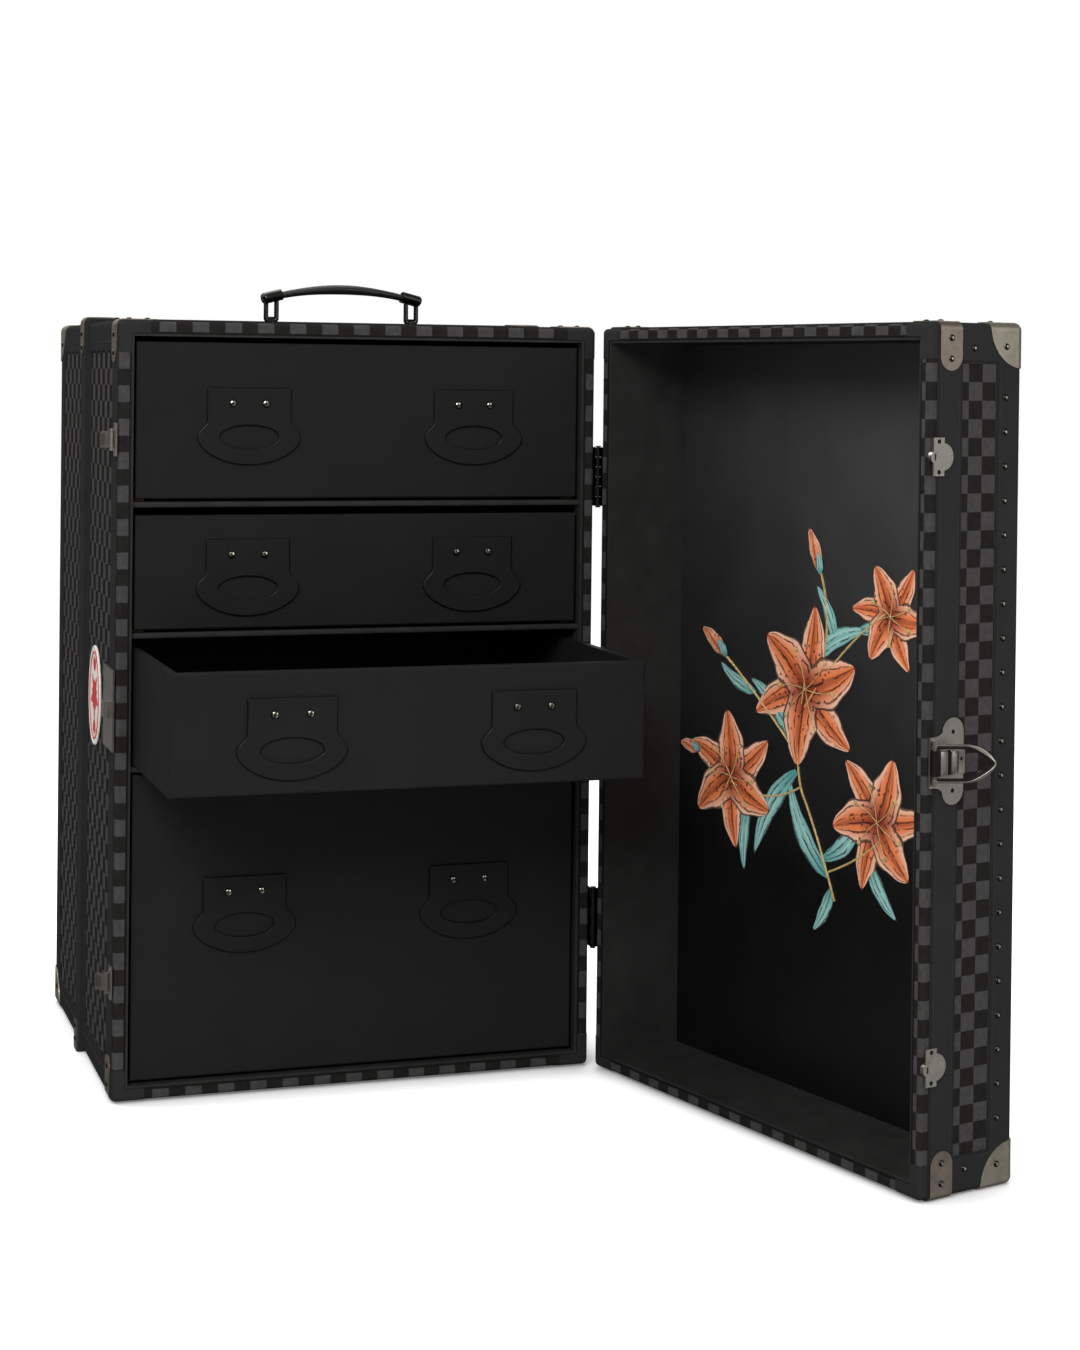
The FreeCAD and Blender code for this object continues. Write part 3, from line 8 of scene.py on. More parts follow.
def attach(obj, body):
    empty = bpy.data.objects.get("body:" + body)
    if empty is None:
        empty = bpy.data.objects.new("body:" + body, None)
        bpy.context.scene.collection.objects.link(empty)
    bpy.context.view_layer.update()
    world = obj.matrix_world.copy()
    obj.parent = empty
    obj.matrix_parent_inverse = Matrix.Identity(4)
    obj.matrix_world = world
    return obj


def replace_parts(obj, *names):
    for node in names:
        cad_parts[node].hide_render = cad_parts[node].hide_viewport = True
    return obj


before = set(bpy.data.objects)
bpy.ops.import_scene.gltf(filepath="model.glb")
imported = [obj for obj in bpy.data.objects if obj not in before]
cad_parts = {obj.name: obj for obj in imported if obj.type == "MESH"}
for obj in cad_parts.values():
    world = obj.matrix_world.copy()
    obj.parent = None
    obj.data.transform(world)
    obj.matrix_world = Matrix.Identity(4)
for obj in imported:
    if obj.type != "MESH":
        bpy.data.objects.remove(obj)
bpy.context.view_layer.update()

scene = bpy.context.scene
scene.view_settings.view_transform = "Standard"
MM = 0.001

# ---------------------------------------------------------------------------
# Checked canvas on the boards of the case and the door. A coated cotton cloth
# with a two-tone check, glued over the boards and folded over their front rims.

CHECK = 17.1 * MM
WEAVE = 0.9 * MM
CANVAS_LIGHT = (0.060, 0.058, 0.057, 1)
CANVAS_DARK = (0.0185, 0.0175, 0.0165, 1)
DOOR_OPEN = math.radians(105)
HINGE = Vector((262.6, -218.75, 0)) * MM
SWUNG = Matrix.Translation(HINGE) @ Matrix.Rotation(DOOR_OPEN, 4, "Z") @ Matrix.Translation(-HINGE)


def wire(tree, source, node, socket):
    """Feeds a socket from another socket, or writes a plain value on it."""
    if isinstance(source, bpy.types.NodeSocket):
        tree.links.new(source, node.inputs[socket])
    else:
        node.inputs[socket].default_value = source


def add(tree, kind, *values, **settings):
    """Adds a shader node, sets its properties and feeds its first sockets in their order."""
    node = tree.nodes.new("ShaderNode" + kind)
    for name, value in settings.items():
        setattr(node, name, value)
    for socket, value in enumerate(values):
        wire(tree, value, node, socket)
    return node


def math_of(tree, operation, *values):
    """The result of one Math node."""
    return add(tree, "Math", *values, operation=operation).outputs[0]


def times(tree, first, second):
    return math_of(tree, "MULTIPLY", first, second)


def ranged(tree, value, low, high, new_low, new_high):
    """A value moved from one range to another and held inside it."""
    return add(tree, "MapRange", value, low, high, new_low, new_high).outputs[0]


def axes_of(tree, place):
    """The three numbers of a place."""
    return add(tree, "SeparateXYZ", place).outputs


def toned(tree, colour, shade):
    """A colour made lighter or darker by a factor."""
    node = add(tree, "VectorMath", colour, operation="SCALE")
    wire(tree, shade, node, "Scale")
    return node.outputs[0]


def noise(tree, place, size, detail=3, roughness=0.5):
    """Noise whose lumps are about one size, in metres."""
    node = add(tree, "TexNoise", place)
    for label, value in (("Scale", 1 / size), ("Detail", detail), ("Roughness", roughness)):
        wire(tree, value, node, label)
    return node.outputs["Fac"]


def group(name, inputs, outputs):
    """A shader node group with its own ends, and those ends."""
    tree = bpy.data.node_groups.new(name, "ShaderNodeTree")
    for label, kind, value in inputs:
        socket = tree.interface.new_socket(label, in_out="INPUT", socket_type="NodeSocket" + kind)
        if value is not None:
            socket.default_value = value
    for label, kind in outputs:
        tree.interface.new_socket(label, in_out="OUTPUT", socket_type="NodeSocket" + kind)
    return tree, tree.nodes.new("NodeGroupInput"), tree.nodes.new("NodeGroupOutput")


def placed(tree, source, **values):
    """A group placed in a material with its own values."""
    node = add(tree, "Group", node_tree=source)
    for label, value in values.items():
        wire(tree, value, node, label.replace("_", " "))
    return node


def new_material(name, **plain):
    """A material with its shader's plain values set, and the place of each point on the object."""
    material = bpy.data.materials.new(name)
    material.use_nodes = True
    tree = material.node_tree
    shader = tree.nodes["Principled BSDF"]
    for label, value in plain.items():
        shader.inputs[label.replace("_", " ")].default_value = value
    return material, tree, shader, add(tree, "TexCoord").outputs["Object"]


def finish(tree, shader, colour, rough, height, depth):
    """Sets a shader's colour and roughness, and raises a height of 0 to 1 by a depth in metres."""
    wire(tree, colour, shader, "Base Color")
    wire(tree, rough, shader, "Roughness")
    if depth:
        bump = add(tree, "Bump")
        wire(tree, 1.0, bump, "Strength")
        wire(tree, depth, bump, "Distance")
        wire(tree, height, bump, "Height")
        wire(tree, bump.outputs[0], shader, "Normal")


def checked_group():
    """The printed check and the ribbed weave below it."""
    tree, inside, out = group(
        "printed check",
        [("Place", "Vector", None), ("Corner", "Vector", None), ("Left", "Float", -1.0),
         ("Right", "Float", 1.0)],
        [("Color", "Color"), ("Height", "Float"), ("Wear", "Float")],
    )
    x, y, z = axes_of(tree, inside.outputs["Place"])
    held = math_of(tree, "MAXIMUM", x, inside.outputs["Left"])
    held = math_of(tree, "MINIMUM", held, inside.outputs["Right"])
    joined = add(tree, "CombineXYZ", held, y, z).outputs[0]
    moved = add(tree, "VectorMath", joined, inside.outputs["Corner"], operation="SUBTRACT").outputs[0]
    check = add(tree, "TexChecker", moved, CANVAS_LIGHT, CANVAS_DARK, 1 / CHECK)
    ribs = [math_of(tree, "SINE", times(tree, axis, 2 * math.pi / WEAVE)) for axis in (x, y, z)]
    woven = times(tree, math_of(tree, "MULTIPLY_ADD", ribs[0], 1.0, ribs[1]), ribs[2])
    woven = ranged(tree, woven, -1, 1, 0, 1)
    mottle = noise(tree, inside.outputs["Place"], 6 * MM, 4, 0.6)
    shade = ranged(tree, mottle, 0.3, 0.7, 0.82, 1.16)
    shade = times(tree, shade, ranged(tree, woven, 0, 1, 0.88, 1.1))
    wire(tree, toned(tree, check.outputs["Color"], shade), out, "Color")
    wire(tree, woven, out, "Height")
    wire(tree, mottle, out, "Wear")
    return tree


PRINTED_CHECK = checked_group()


def canvas(name, corner, turned=False, left=-1.0, right=1.0):
    """Checked canvas whose squares start at a corner given in millimetres, in the closed trunk."""
    material, tree, shader, place = new_material(name, IOR=1.01)
    if turned:
        home = SWUNG.inverted()
        place = add(tree, "Mapping", place, home.to_translation(), home.to_euler()).outputs[0]
    cloth = placed(tree, PRINTED_CHECK, Place=place, Corner=Vector(corner) * MM, Left=left, Right=right)
    rough = ranged(tree, cloth.outputs["Wear"], 0.3, 0.7, 0.5, 0.62)
    finish(tree, shader, cloth.outputs["Color"], rough, cloth.outputs["Height"], 0.12 * MM)
    return material


def dress(material, *names):
    """Gives CAD nodes a finish."""
    for name in names:
        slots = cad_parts[name].data.materials
        slots.clear()
        slots.append(material)


CASE_CANVAS = canvas("case_canvas", (5.0, -204.0, 18.9), left=-0.2514, right=0.2500)
DOOR_CANVAS = canvas("door_canvas", (-252.3, -284.8, 14.6), turned=True)
dress(CASE_CANVAS, "case_frame", "case_back")
dress(DOOR_CANVAS, "door_frame", "door_face")

# ---------------------------------------------------------------------------
# Leather bindings of the edges, and the raised band round the middle.
# Dark grey bridle leather, about 1.5 mm thick, with a fine close grain.
# It is glued over the edges of the boards, and sewn or riveted along its sides.
# ---------------------------------------------------------------------------

LEATHER = (0.0275, 0.0272, 0.0272, 1)
GRAIN = 1.1 * MM


def grain_group():
    """Pebbled grain with a slow mottle, for every kind of hide on the trunk."""
    tree, inside, out = group(
        "hide grain",
        [("Place", "Vector", None), ("Size", "Float", GRAIN), ("Tone", "Color", LEATHER),
         ("Mottle", "Float", 0.18)],
        [("Color", "Color"), ("Height", "Float"), ("Polish", "Float")],
    )
    place = inside.outputs["Place"]
    pebbles = add(tree, "TexVoronoi", place, feature="SMOOTH_F1")
    wire(tree, math_of(tree, "DIVIDE", 1.0, inside.outputs["Size"]), pebbles, "Scale")
    wire(tree, 0.6, pebbles, "Smoothness")
    creases = noise(tree, place, 4 * MM, 5, 0.65)
    raised = ranged(tree, pebbles.outputs["Distance"], 0, 0.8, 0.65, 0)
    height = math_of(tree, "MULTIPLY_ADD", creases, 0.35, raised)
    slow = noise(tree, place, 45 * MM, 3, 0.55)
    swing = times(tree, math_of(tree, "SUBTRACT", slow, 0.5), inside.outputs["Mottle"])
    shade = math_of(tree, "MULTIPLY_ADD", swing, 2.0, ranged(tree, height, 0.2, 0.9, 0.9, 1.08))
    wire(tree, toned(tree, inside.outputs["Tone"], shade), out, "Color")
    wire(tree, height, out, "Height")
    wire(tree, slow, out, "Polish")
    return tree


HIDE_GRAIN = grain_group()


def hide(name, tone, size=GRAIN, mottle=0.18, rough=(0.48, 0.6), depth=0.07 * MM, **plain):
    """Leather of one tone and grain."""
    material, tree, shader, place = new_material(name, **plain)
    skin = placed(tree, HIDE_GRAIN, Place=place, Size=size, Tone=tone, Mottle=mottle)
    polish = ranged(tree, skin.outputs["Polish"], 0.35, 0.65, *rough)
    finish(tree, shader, skin.outputs["Color"], polish, skin.outputs["Height"], depth)
    return material


BINDING = hide("binding_leather", LEATHER, IOR=1.02)
dress(BINDING, "case_edge_leather", "door_edge_leather", "bumper_band", "bumper_flanges")

# ---------------------------------------------------------------------------
# Linings, dividers and runners.
# The case and the hollow of the door are lined with a dark olive-black cloth.
# The dividers are thin boards in the same cloth, and the runners are hardwood.
# ---------------------------------------------------------------------------

LINING = (0.0285, 0.0280, 0.0268)
THREADS = 0.6 * MM
RUNNER_WOOD = (0.20, 0.115, 0.06)


def lining_cloth():
    material, tree, shader, place = new_material("lining_cloth", IOR=1.15)
    x, y, z = axes_of(tree, place)
    warp, weft = [math_of(tree, "SINE", times(tree, run, 2 * math.pi / THREADS))
                  for run in (math_of(tree, "ADD", x, y), z)]
    woven = ranged(tree, times(tree, warp, weft), -1, 1, 0, 1)
    mottle = noise(tree, place, 30 * MM, 4, 0.6)
    worn = ranged(tree, mottle, 0.3, 0.7, 0.85, 1.15)
    shade = times(tree, worn, ranged(tree, woven, 0, 1, 0.9, 1.1))
    rough = ranged(tree, mottle, 0.3, 0.7, 0.42, 0.55)
    finish(tree, shader, toned(tree, LINING, shade), rough, woven, 0.05 * MM)
    return material


def stretched(tree, place, scale):
    """A place with its axes scaled, which draws a pattern out along one of them."""
    node = add(tree, "Mapping", place)
    wire(tree, scale, node, "Scale")
    return node.outputs[0]


def runner_wood():
    material, tree, shader, place = new_material("runner_wood", Specular_IOR_Level=0.4)
    fibre = noise(tree, stretched(tree, place, (1.0, 0.06, 1.0)), 2.5 * MM, 5, 0.6)
    tone = toned(tree, RUNNER_WOOD, ranged(tree, fibre, 0.3, 0.7, 0.65, 1.2))
    finish(tree, shader, tone, ranged(tree, fibre, 0.3, 0.7, 0.4, 0.6), fibre, 0.1 * MM)
    return material


dress(lining_cloth(), "case_lining", "door_lining", "divider_1", "divider_2", "divider_3")
dress(runner_wood(), "drawer_runners")

# ---------------------------------------------------------------------------
# Drawers: boards covered in fine black leatherette, and leather pulls.
# Each pull is a bell-shaped tab with an oval opening for the fingers, fixed to
# the front by two screws near its top edge.
# ---------------------------------------------------------------------------

DRAWERS = ("drawer_1", "drawer_2", "drawer_3", "drawer_4")
LEATHERETTE = (0.0165, 0.0165, 0.0168, 1)
PULL_LEATHER = (0.0145, 0.0145, 0.0150, 1)

DRAWER_SKIN = hide("drawer_leatherette", LEATHERETTE, 0.7 * MM, 0.1, (0.46, 0.56), 0.05 * MM, IOR=1.1)
PULL_SKIN = hide("pull_leather", PULL_LEATHER, 0.8 * MM, 0.12, (0.45, 0.55), 0.05 * MM, IOR=1.15)
for drawer in DRAWERS:
    dress(DRAWER_SKIN, drawer + "_tray", drawer + "_face")
    dress(PULL_SKIN, drawer + "_pulls")

# ---------------------------------------------------------------------------
# Steel fittings.
# Corner straps and caps are brushed to a warm gunmetal. Hinges and the handle's
# fittings are smoked almost black; latches and lock keep a brighter satin polish.
# ---------------------------------------------------------------------------

GUNMETAL = (0.30, 0.252, 0.206, 1)
PALE_GUNMETAL = (0.41, 0.373, 0.30, 1)
SATIN_STEEL = (0.46, 0.44, 0.39, 1)
SMOKED_STEEL = (0.050, 0.046, 0.041, 1)
SCREW_PAINTED_HIGHLIGHT_TONE = (0.42, 0.39, 0.33, 1)
BRONZE = (0.050, 0.045, 0.037, 1)
BRONZE_PAINTED_HIGHLIGHT = (0.56, 0.50, 0.40, 1)


def metal_group():
    """Fine brush marks, cloudy tarnish and a few dull spots."""
    tree, inside, out = group(
        "worn metal",
        [("Place", "Vector", None), ("Tone", "Color", GUNMETAL), ("Polish", "Float", 0.3)],
        [("Color", "Color"), ("Roughness", "Float"), ("Height", "Float")],
    )
    place = inside.outputs["Place"]
    brushed = noise(tree, stretched(tree, place, (1.0, 1.0, 0.05)), 0.5 * MM, 4, 0.7)
    clouds = noise(tree, place, 12 * MM, 4, 0.6)
    shade = times(tree, ranged(tree, clouds, 0.3, 0.7, 0.8, 1.15),
                  ranged(tree, brushed, 0.3, 0.7, 0.92, 1.06))
    wire(tree, toned(tree, inside.outputs["Tone"], shade), out, "Color")
    dull = ranged(tree, clouds, 0.35, 0.7, 0.1, -0.03)
    wire(tree, math_of(tree, "ADD", inside.outputs["Polish"], dull), out, "Roughness")
    wire(tree, brushed, out, "Height")
    return tree


WORN_METAL = metal_group()


def steel(name, tone, polish):
    material, tree, shader, place = new_material(name, Metallic=1.0)
    surface = placed(tree, WORN_METAL, Place=place, Tone=tone, Polish=polish)
    finish(tree, shader, *[surface.outputs[label] for label in ("Color", "Roughness", "Height")], 0.02 * MM)
    return material


STRAP_STEEL = steel("strap_steel", GUNMETAL, 0.34)
CAP_STEEL = steel("cap_steel", PALE_GUNMETAL, 0.36)
LATCH_STEEL = steel("latch_steel", SATIN_STEEL, 0.26)
HANDLE_STEEL = steel("handle_steel", SMOKED_STEEL, 0.2)
RIVET_BRONZE = steel("rivet_bronze", BRONZE, 0.16)
# The paler crown of each rivet head is a painted highlight.
RIVET_PAINTED_HIGHLIGHT = steel("rivet_crown", BRONZE_PAINTED_HIGHLIGHT, 0.3)
# The bright crown of each pull screw is a painted highlight; the rest of the head is dark.
SCREW_PAINTED_HIGHLIGHT = steel("screw_painted_highlight", SCREW_PAINTED_HIGHLIGHT_TONE, 0.16)
dress(STRAP_STEEL, "case_corner_straps", "door_corner_straps", "bumper_straps")
dress(CAP_STEEL, "case_corner_caps", "door_corner_caps")
dress(HANDLE_STEEL, "hinge_leaves_case", "hinge_leaves_door", "hinge_pins", "handle_plates", "handle_rings",
      "handle_end_caps")
dress(LATCH_STEEL, "lock_plate", "lock_lever", "lock_bail", "lock_strike", "base_glides",
      *[f"latch_{place}_{part}" for place in ("low", "high") for part in ("bracket", "lever", "catch")])
dress(RIVET_BRONZE, "case_rivets", "door_rivets", "bumper_rivets",
      *[drawer + "_pull_screws" for drawer in DRAWERS])

# ---------------------------------------------------------------------------
# Rivets and screws.
# Polished bronze nails with low domed heads hold the straps, the caps and the
# rear leather of the door; the pulls have screws with a slotted dome. Each head is
# dark, with a paler crown that is a painted highlight.
# ---------------------------------------------------------------------------

HEAD_RADIUS = 3.2 * MM
HEAD_HEIGHT = 1.8 * MM
SCREW_RADIUS = 4.3 * MM
SCREW_HEIGHT = 2.0 * MM
SLOT_LEANS = (25, -40, 70, 10)
SLOT_EDGE, SLOT_INSIDE, SLOT_DEPTH = 0.16, 0.15, 0.45
SIDE_FACE = 259.5
NAIL_COUNT, NAIL_PITCH = 22, 31.9
NAIL_ROW_Y, NAIL_ROW_LOW = -313, 65.9
NAIL_END_Y, NAIL_END_LOW, NAIL_END_HIGH = -273, 25, 781


def mesh_from(bm, name):
    """Ends a bmesh as a mesh."""
    mesh = bpy.data.meshes.new(name)
    bm.to_mesh(mesh)
    bm.free()
    return mesh


def finished(name, bm, material, body, smooth=None):
    """Turns a bmesh into a piece that moves with a body."""
    mesh = mesh_from(bm, name)
    if smooth is not None:
        mesh.shade_smooth()
        mesh.set_sharp_from_angle(angle=math.radians(smooth))
    piece = bpy.data.objects.new(name, mesh)
    scene.collection.objects.link(piece)
    mesh.materials.append(material)
    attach(piece, body)
    return piece


def stamped(bm, template, matrix):
    """Adds a copy of a mesh, placed by a matrix."""
    start = len(bm.verts)
    bm.from_mesh(template)
    bm.verts.ensure_lookup_table()
    bmesh.ops.transform(bm, matrix=matrix, verts=bm.verts[start:])


def facing(place, axis, across=None):
    """A matrix that stands a template up at a place, with its Z along an axis and its X across."""
    axis = axis.normalized()
    side = (across or axis.orthogonal()).normalized()
    turn = Matrix((side, axis.cross(side), axis)).transposed().to_4x4()
    return Matrix.Translation(place) @ turn


def cut(bm, place, direction, clear=False):
    """Cuts a mesh along a plane; clear removes the side that the plane faces."""
    everything = bm.verts[:] + bm.edges[:] + bm.faces[:]
    bmesh.ops.bisect_plane(bm, geom=everything, plane_co=place, plane_no=direction, clear_outer=clear)


def dome(radius, height, slotted=False, crown=1.0):
    """A domed head on the XY plane, plain or slotted along X; its crown has a second finish, for a painted
    highlight.
    """
    bm = bmesh.new()
    bmesh.ops.create_uvsphere(bm, u_segments=14, v_segments=8, radius=1)
    cut(bm, (0, 0, 0), (0, 0, -1), clear=True)
    if slotted:
        for edge in (-SLOT_EDGE, SLOT_EDGE):
            cut(bm, (0, edge, 0), (0, 1, 0))
        groove = [f for f in bm.faces if abs(f.calc_center_median().y) < SLOT_INSIDE]
        sunk = bmesh.ops.extrude_face_region(bm, geom=groove)["geom"]
        bmesh.ops.delete(bm, geom=groove, context="FACES")
        lowered = [part for part in sunk if isinstance(part, bmesh.types.BMVert)]
        bmesh.ops.translate(bm, vec=(0, 0, -SLOT_DEPTH), verts=lowered)
    for face in bm.faces:
        face.material_index = int(face.calc_center_median().z > crown)
    bmesh.ops.scale(bm, vec=(radius, radius, height), verts=bm.verts)
    return mesh_from(bm, "head")


def head_places(node):
    """Where each separate head of a CAD node has its foot, and which way it faces."""
    bm = bmesh.new()
    bm.from_mesh(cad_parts[node].data)
    bm.transform(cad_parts[node].matrix_world)
    bmesh.ops.remove_doubles(bm, verts=bm.verts, dist=0.01 * MM)
    left, places = set(bm.faces), []
    while left:
        queue, head = [left.pop()], []
        while queue:
            face = queue.pop()
            head.append(face)
            for other in {f for e in face.edges for f in e.link_faces} & left:
                left.discard(other)
                queue.append(other)
        shares = {}
        for face in head:
            key = tuple(round(v, 2) for v in face.normal)
            shares[key] = shares.get(key, 0) + face.calc_area()
        foot = Vector(max(shares, key=shares.get))
        corners = {v for f in head if f.normal.dot(foot) > 0.99 for v in f.verts}
        places.append((sum((v.co for v in corners), Vector()) / len(corners), -foot))
    bm.free()
    return places


def heads(name, places, template, body, crown, across=None):
    """One piece made of many equal heads, dark, with a painted highlight on the crown."""
    bm = bmesh.new()
    for place, axis in places:
        stamped(bm, template, facing(place, axis, across))
    piece = finished(name, bm, RIVET_BRONZE, body, 40)
    piece.data.materials.append(crown)
    return piece


def door_nail_places():
    """The row along the rear leather of each side of the door, and one nail at each end of the window."""
    turn = SWUNG.to_3x3()
    for side in (-1, 1):
        spots = [(NAIL_ROW_Y, NAIL_ROW_LOW + number * NAIL_PITCH) for number in range(NAIL_COUNT)]
        for y, z in spots + [(NAIL_END_Y, NAIL_END_LOW), (NAIL_END_Y, NAIL_END_HIGH)]:
            yield SWUNG @ (Vector((side * SIDE_FACE, y, z)) * MM), turn @ Vector((side, 0, 0))


DOME = dome(HEAD_RADIUS, HEAD_HEIGHT, crown=0.9)
for name, source, body in (("case_nails", "case_rivets", "case"), ("door_nails", "door_rivets", "door"),
                           ("band_nails", "bumper_rivets", "case")):
    piece = heads(name, head_places(source), DOME, body, RIVET_PAINTED_HIGHLIGHT)
    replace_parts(piece, source)
heads("door_side_nails", door_nail_places(), DOME, "door", RIVET_PAINTED_HIGHLIGHT)

# Above 0.6 of their height the screw heads take the painted highlight.
SLOTTED = dome(SCREW_RADIUS, SCREW_HEIGHT, True, 0.6)
for drawer, lean in zip(DRAWERS, SLOT_LEANS):
    slot_line = Vector((math.cos(math.radians(lean)), 0, math.sin(math.radians(lean))))
    source = drawer + "_pull_screws"
    piece = heads(drawer + "_screw_heads", head_places(source), SLOTTED, drawer, SCREW_PAINTED_HIGHLIGHT,
                  slot_line)
    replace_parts(piece, source)

# ---------------------------------------------------------------------------
# Stitching and crease lines of the leather bindings.
# Waxed thread runs round every window of canvas; a crease pressed with a hot
# iron follows the cut edge of the leather. The crease is drawn as a near-black strip
# laid on the leather, painted shade of its groove.
# ---------------------------------------------------------------------------

STITCH_PITCH = 4.4 * MM
STITCH_LONG = 3.1 * MM
STITCH_RADIUS = 0.34 * MM
THREAD = (0.036, 0.036, 0.036, 1)
CREASE_SHADE_TONE = (0.006, 0.006, 0.006, 1)
TOP_FACE, UNDER_FACE = 804.5, 1.5
WINDOW_HALF, WINDOW_LOW, WINDOW_HIGH = 228, 33, 773
SEAM_MARGIN, CREASE_MARGIN = 3.6, 1.3
CREASE_WIDE, CREASE_HIGH = 0.45 * MM, 0.1 * MM
EDGE_LOW, EDGE_HIGH, EDGE_HALF = 8, 798, 253


def mottled_group():
    """Small lumps that make one tone darker and lighter, for thread, edge paint, painted shade and gilt."""
    tree, inside, out = group(
        "mottled tone",
        [("Place", "Vector", None), ("Scale", "Float", 1000.0), ("Detail", "Float", 3.0),
         ("Grit", "Float", 0.5), ("Tone", "Color", THREAD), ("Dark", "Float", 0.7), ("Light", "Float", 1.2)],
        [("Color", "Color"), ("Height", "Float")],
    )
    given = inside.outputs
    lumps = noise(tree, given["Place"], 1.0, given["Detail"], given["Grit"])
    wire(tree, given["Scale"], lumps.node, "Scale")
    shade = ranged(tree, lumps, 0.3, 0.7, given["Dark"], given["Light"])
    wire(tree, toned(tree, given["Tone"], shade), out, "Color")
    wire(tree, lumps, out, "Height")
    return tree


MOTTLED = mottled_group()


def mottled(name, tone, size, shades=(0.7, 1.2), rough=(0.5, 0.7), depth=0.1 * MM, ior=1.3, detail=3,
            grit=0.5):
    """A finish of one mottled tone: how large its lumps are, how dark and light, how rough and how deep."""
    material, tree, shader, place = new_material(name, IOR=ior)
    dark, light = shades
    lumps = placed(tree, MOTTLED, Place=place, Scale=1 / size, Detail=detail, Grit=grit, Tone=tone, Dark=dark,
                   Light=light)
    height = lumps.outputs["Height"]
    finish(tree, shader, lumps.outputs["Color"], ranged(tree, height, 0.3, 0.7, *rough), height, depth)
    return material


THREADED = mottled("waxed_thread", THREAD, 0.5 * MM, ior=1.2, detail=2)
# Near-black crease lines: painted shade of the pressed grooves.
CREASE_PAINTED_SHADE = mottled("leather_crease_painted_shade", CREASE_SHADE_TONE, 0.5 * MM, ior=1.2, detail=2)


def stitch_template():
    bm = bmesh.new()
    bmesh.ops.create_cone(bm, cap_ends=True, segments=6, radius1=STITCH_RADIUS, radius2=STITCH_RADIUS,
                          depth=STITCH_LONG, matrix=Matrix.Rotation(math.pi / 2, 4, "Y"))
    return mesh_from(bm, "stitch")


STITCH = stitch_template()


def stitch_row(bm, start, end, out):
    """Stitches between two points of a surface that faces out."""
    along = end - start
    count = max(1, int(along.length / STITCH_PITCH))
    row = bmesh.new()
    for number in range(count):
        place = start + along * ((number + 0.5) / count)
        stamped(row, STITCH, facing(place + out * 0.1 * MM, out, along))
    bm.from_mesh(mesh_from(row, "row"))


def crease_line(bm, start, end, out):
    """A narrow strip laid along a surface, which carries the painted shade of a pressed crease."""
    along = end - start
    turn = Matrix((along.normalized(), out.cross(along.normalized()), out)).transposed().to_4x4()
    size = Matrix.Diagonal((along.length, CREASE_WIDE, CREASE_HIGH, 1))
    bmesh.ops.create_cube(bm, size=1, matrix=Matrix.Translation((start + end) / 2) @ turn @ size)


def spot(axis, level, a, b):
    """A place on a face: its level along the axis it faces, and its two other numbers in order."""
    place = [a, b]
    place.insert(axis, level)
    return Vector(place) * MM


def window_seams(threads, creases, axis, level, out, low, high, tall=SEAM_MARGIN):
    """Seams round one window of a face, from its low to its high corner."""
    for by_a, by_b, draw, mesh in ((SEAM_MARGIN, tall, stitch_row, threads),
                                   (CREASE_MARGIN, CREASE_MARGIN, crease_line, creases)):
        a0, b0, a1, b1 = low[0] - by_a, low[1] - by_b, high[0] + by_a, high[1] + by_b
        corners = ((a0, b0), (a1, b0), (a1, b1), (a0, b1))
        for start, end in zip(corners, corners[1:] + corners[:1]):
            draw(mesh, spot(axis, level, *start), spot(axis, level, *end), out)


def seams(shell, windows, low, high, tall, stitch_y, crease_y, end_level, turn):
    """The seams of a shell: round its windows on sides, top, foot and closed end, and along its edges."""
    threads, creases = bmesh.new(), bmesh.new()
    edges = ((stitch_row, threads, stitch_y), (crease_line, creases, crease_y))
    for side in (-1, 1):
        out, level = Vector((side, 0, 0)), side * SIDE_FACE
        for near, far in windows:
            window_seams(threads, creases, 0, level, out, (near, low), (far, high), tall)
        for draw, mesh, y in edges:
            draw(mesh, spot(0, level, y, EDGE_LOW), spot(0, level, y, EDGE_HIGH), out)
    for level, up in ((TOP_FACE, 1), (UNDER_FACE, -1)):
        out = Vector((0, 0, up))
        for near, far in windows:
            window_seams(threads, creases, 2, level, out, (-WINDOW_HALF, near), (WINDOW_HALF, far))
        for draw, mesh, y in edges:
            draw(mesh, spot(2, level, -EDGE_HALF, y), spot(2, level, EDGE_HALF, y), out)
    window_seams(threads, creases, 1, end_level, Vector((0, math.copysign(1, end_level), 0)),
                 (-WINDOW_HALF, WINDOW_LOW), (WINDOW_HALF, WINDOW_HIGH))
    for name, bm, material in (("stitches", threads, THREADED), ("creases", creases, CREASE_PAINTED_SHADE)):
        bm.transform(turn)
        finished(f"{shell}_{name}", bm, material, shell)


seams("case", windows=((-179, -22), (22, 188)), low=WINDOW_LOW, high=WINDOW_HIGH, tall=9.5,
      stitch_y=-205.4, crease_y=-207.7, end_level=219.5, turn=Matrix())
seams("door", windows=((-302.5, -258.5),), low=38, high=768, tall=SEAM_MARGIN,
      stitch_y=-232.1, crease_y=-229.8, end_level=-334, turn=SWUNG)

# ---------------------------------------------------------------------------
# Leather pulls of the drawers.
# Cut from 3 mm hide with a rounded, black-painted edge; the oval opening is
# painted the same way. The near-black of these edges is partly that real edge
# paint and partly painted shade, the dark contour round each pull.
# ---------------------------------------------------------------------------

PULL_THICK = 3.0 * MM
EDGE_PAINT_AND_SHADE = (0.0022, 0.0022, 0.0022, 1)
PULL_PLACES = ((735.5, -212.0), (578.5, -212.0), (441.0, -426.0), (227.5, -212.0))
PULL_SPREAD = 122
PULL_HOLE_DROP, PULL_HOLE_HALF = -51, (31.3, 12.4)
QUARTER_ROUND = 0.5523
PULL_EDGE_PAINT_AND_SHADE = mottled("pull_edge_paint_and_shade", EDGE_PAINT_AND_SHADE, 1.5 * MM, (0.8, 1.3), (0.35, 0.5), 0.05 * MM, 1.35)


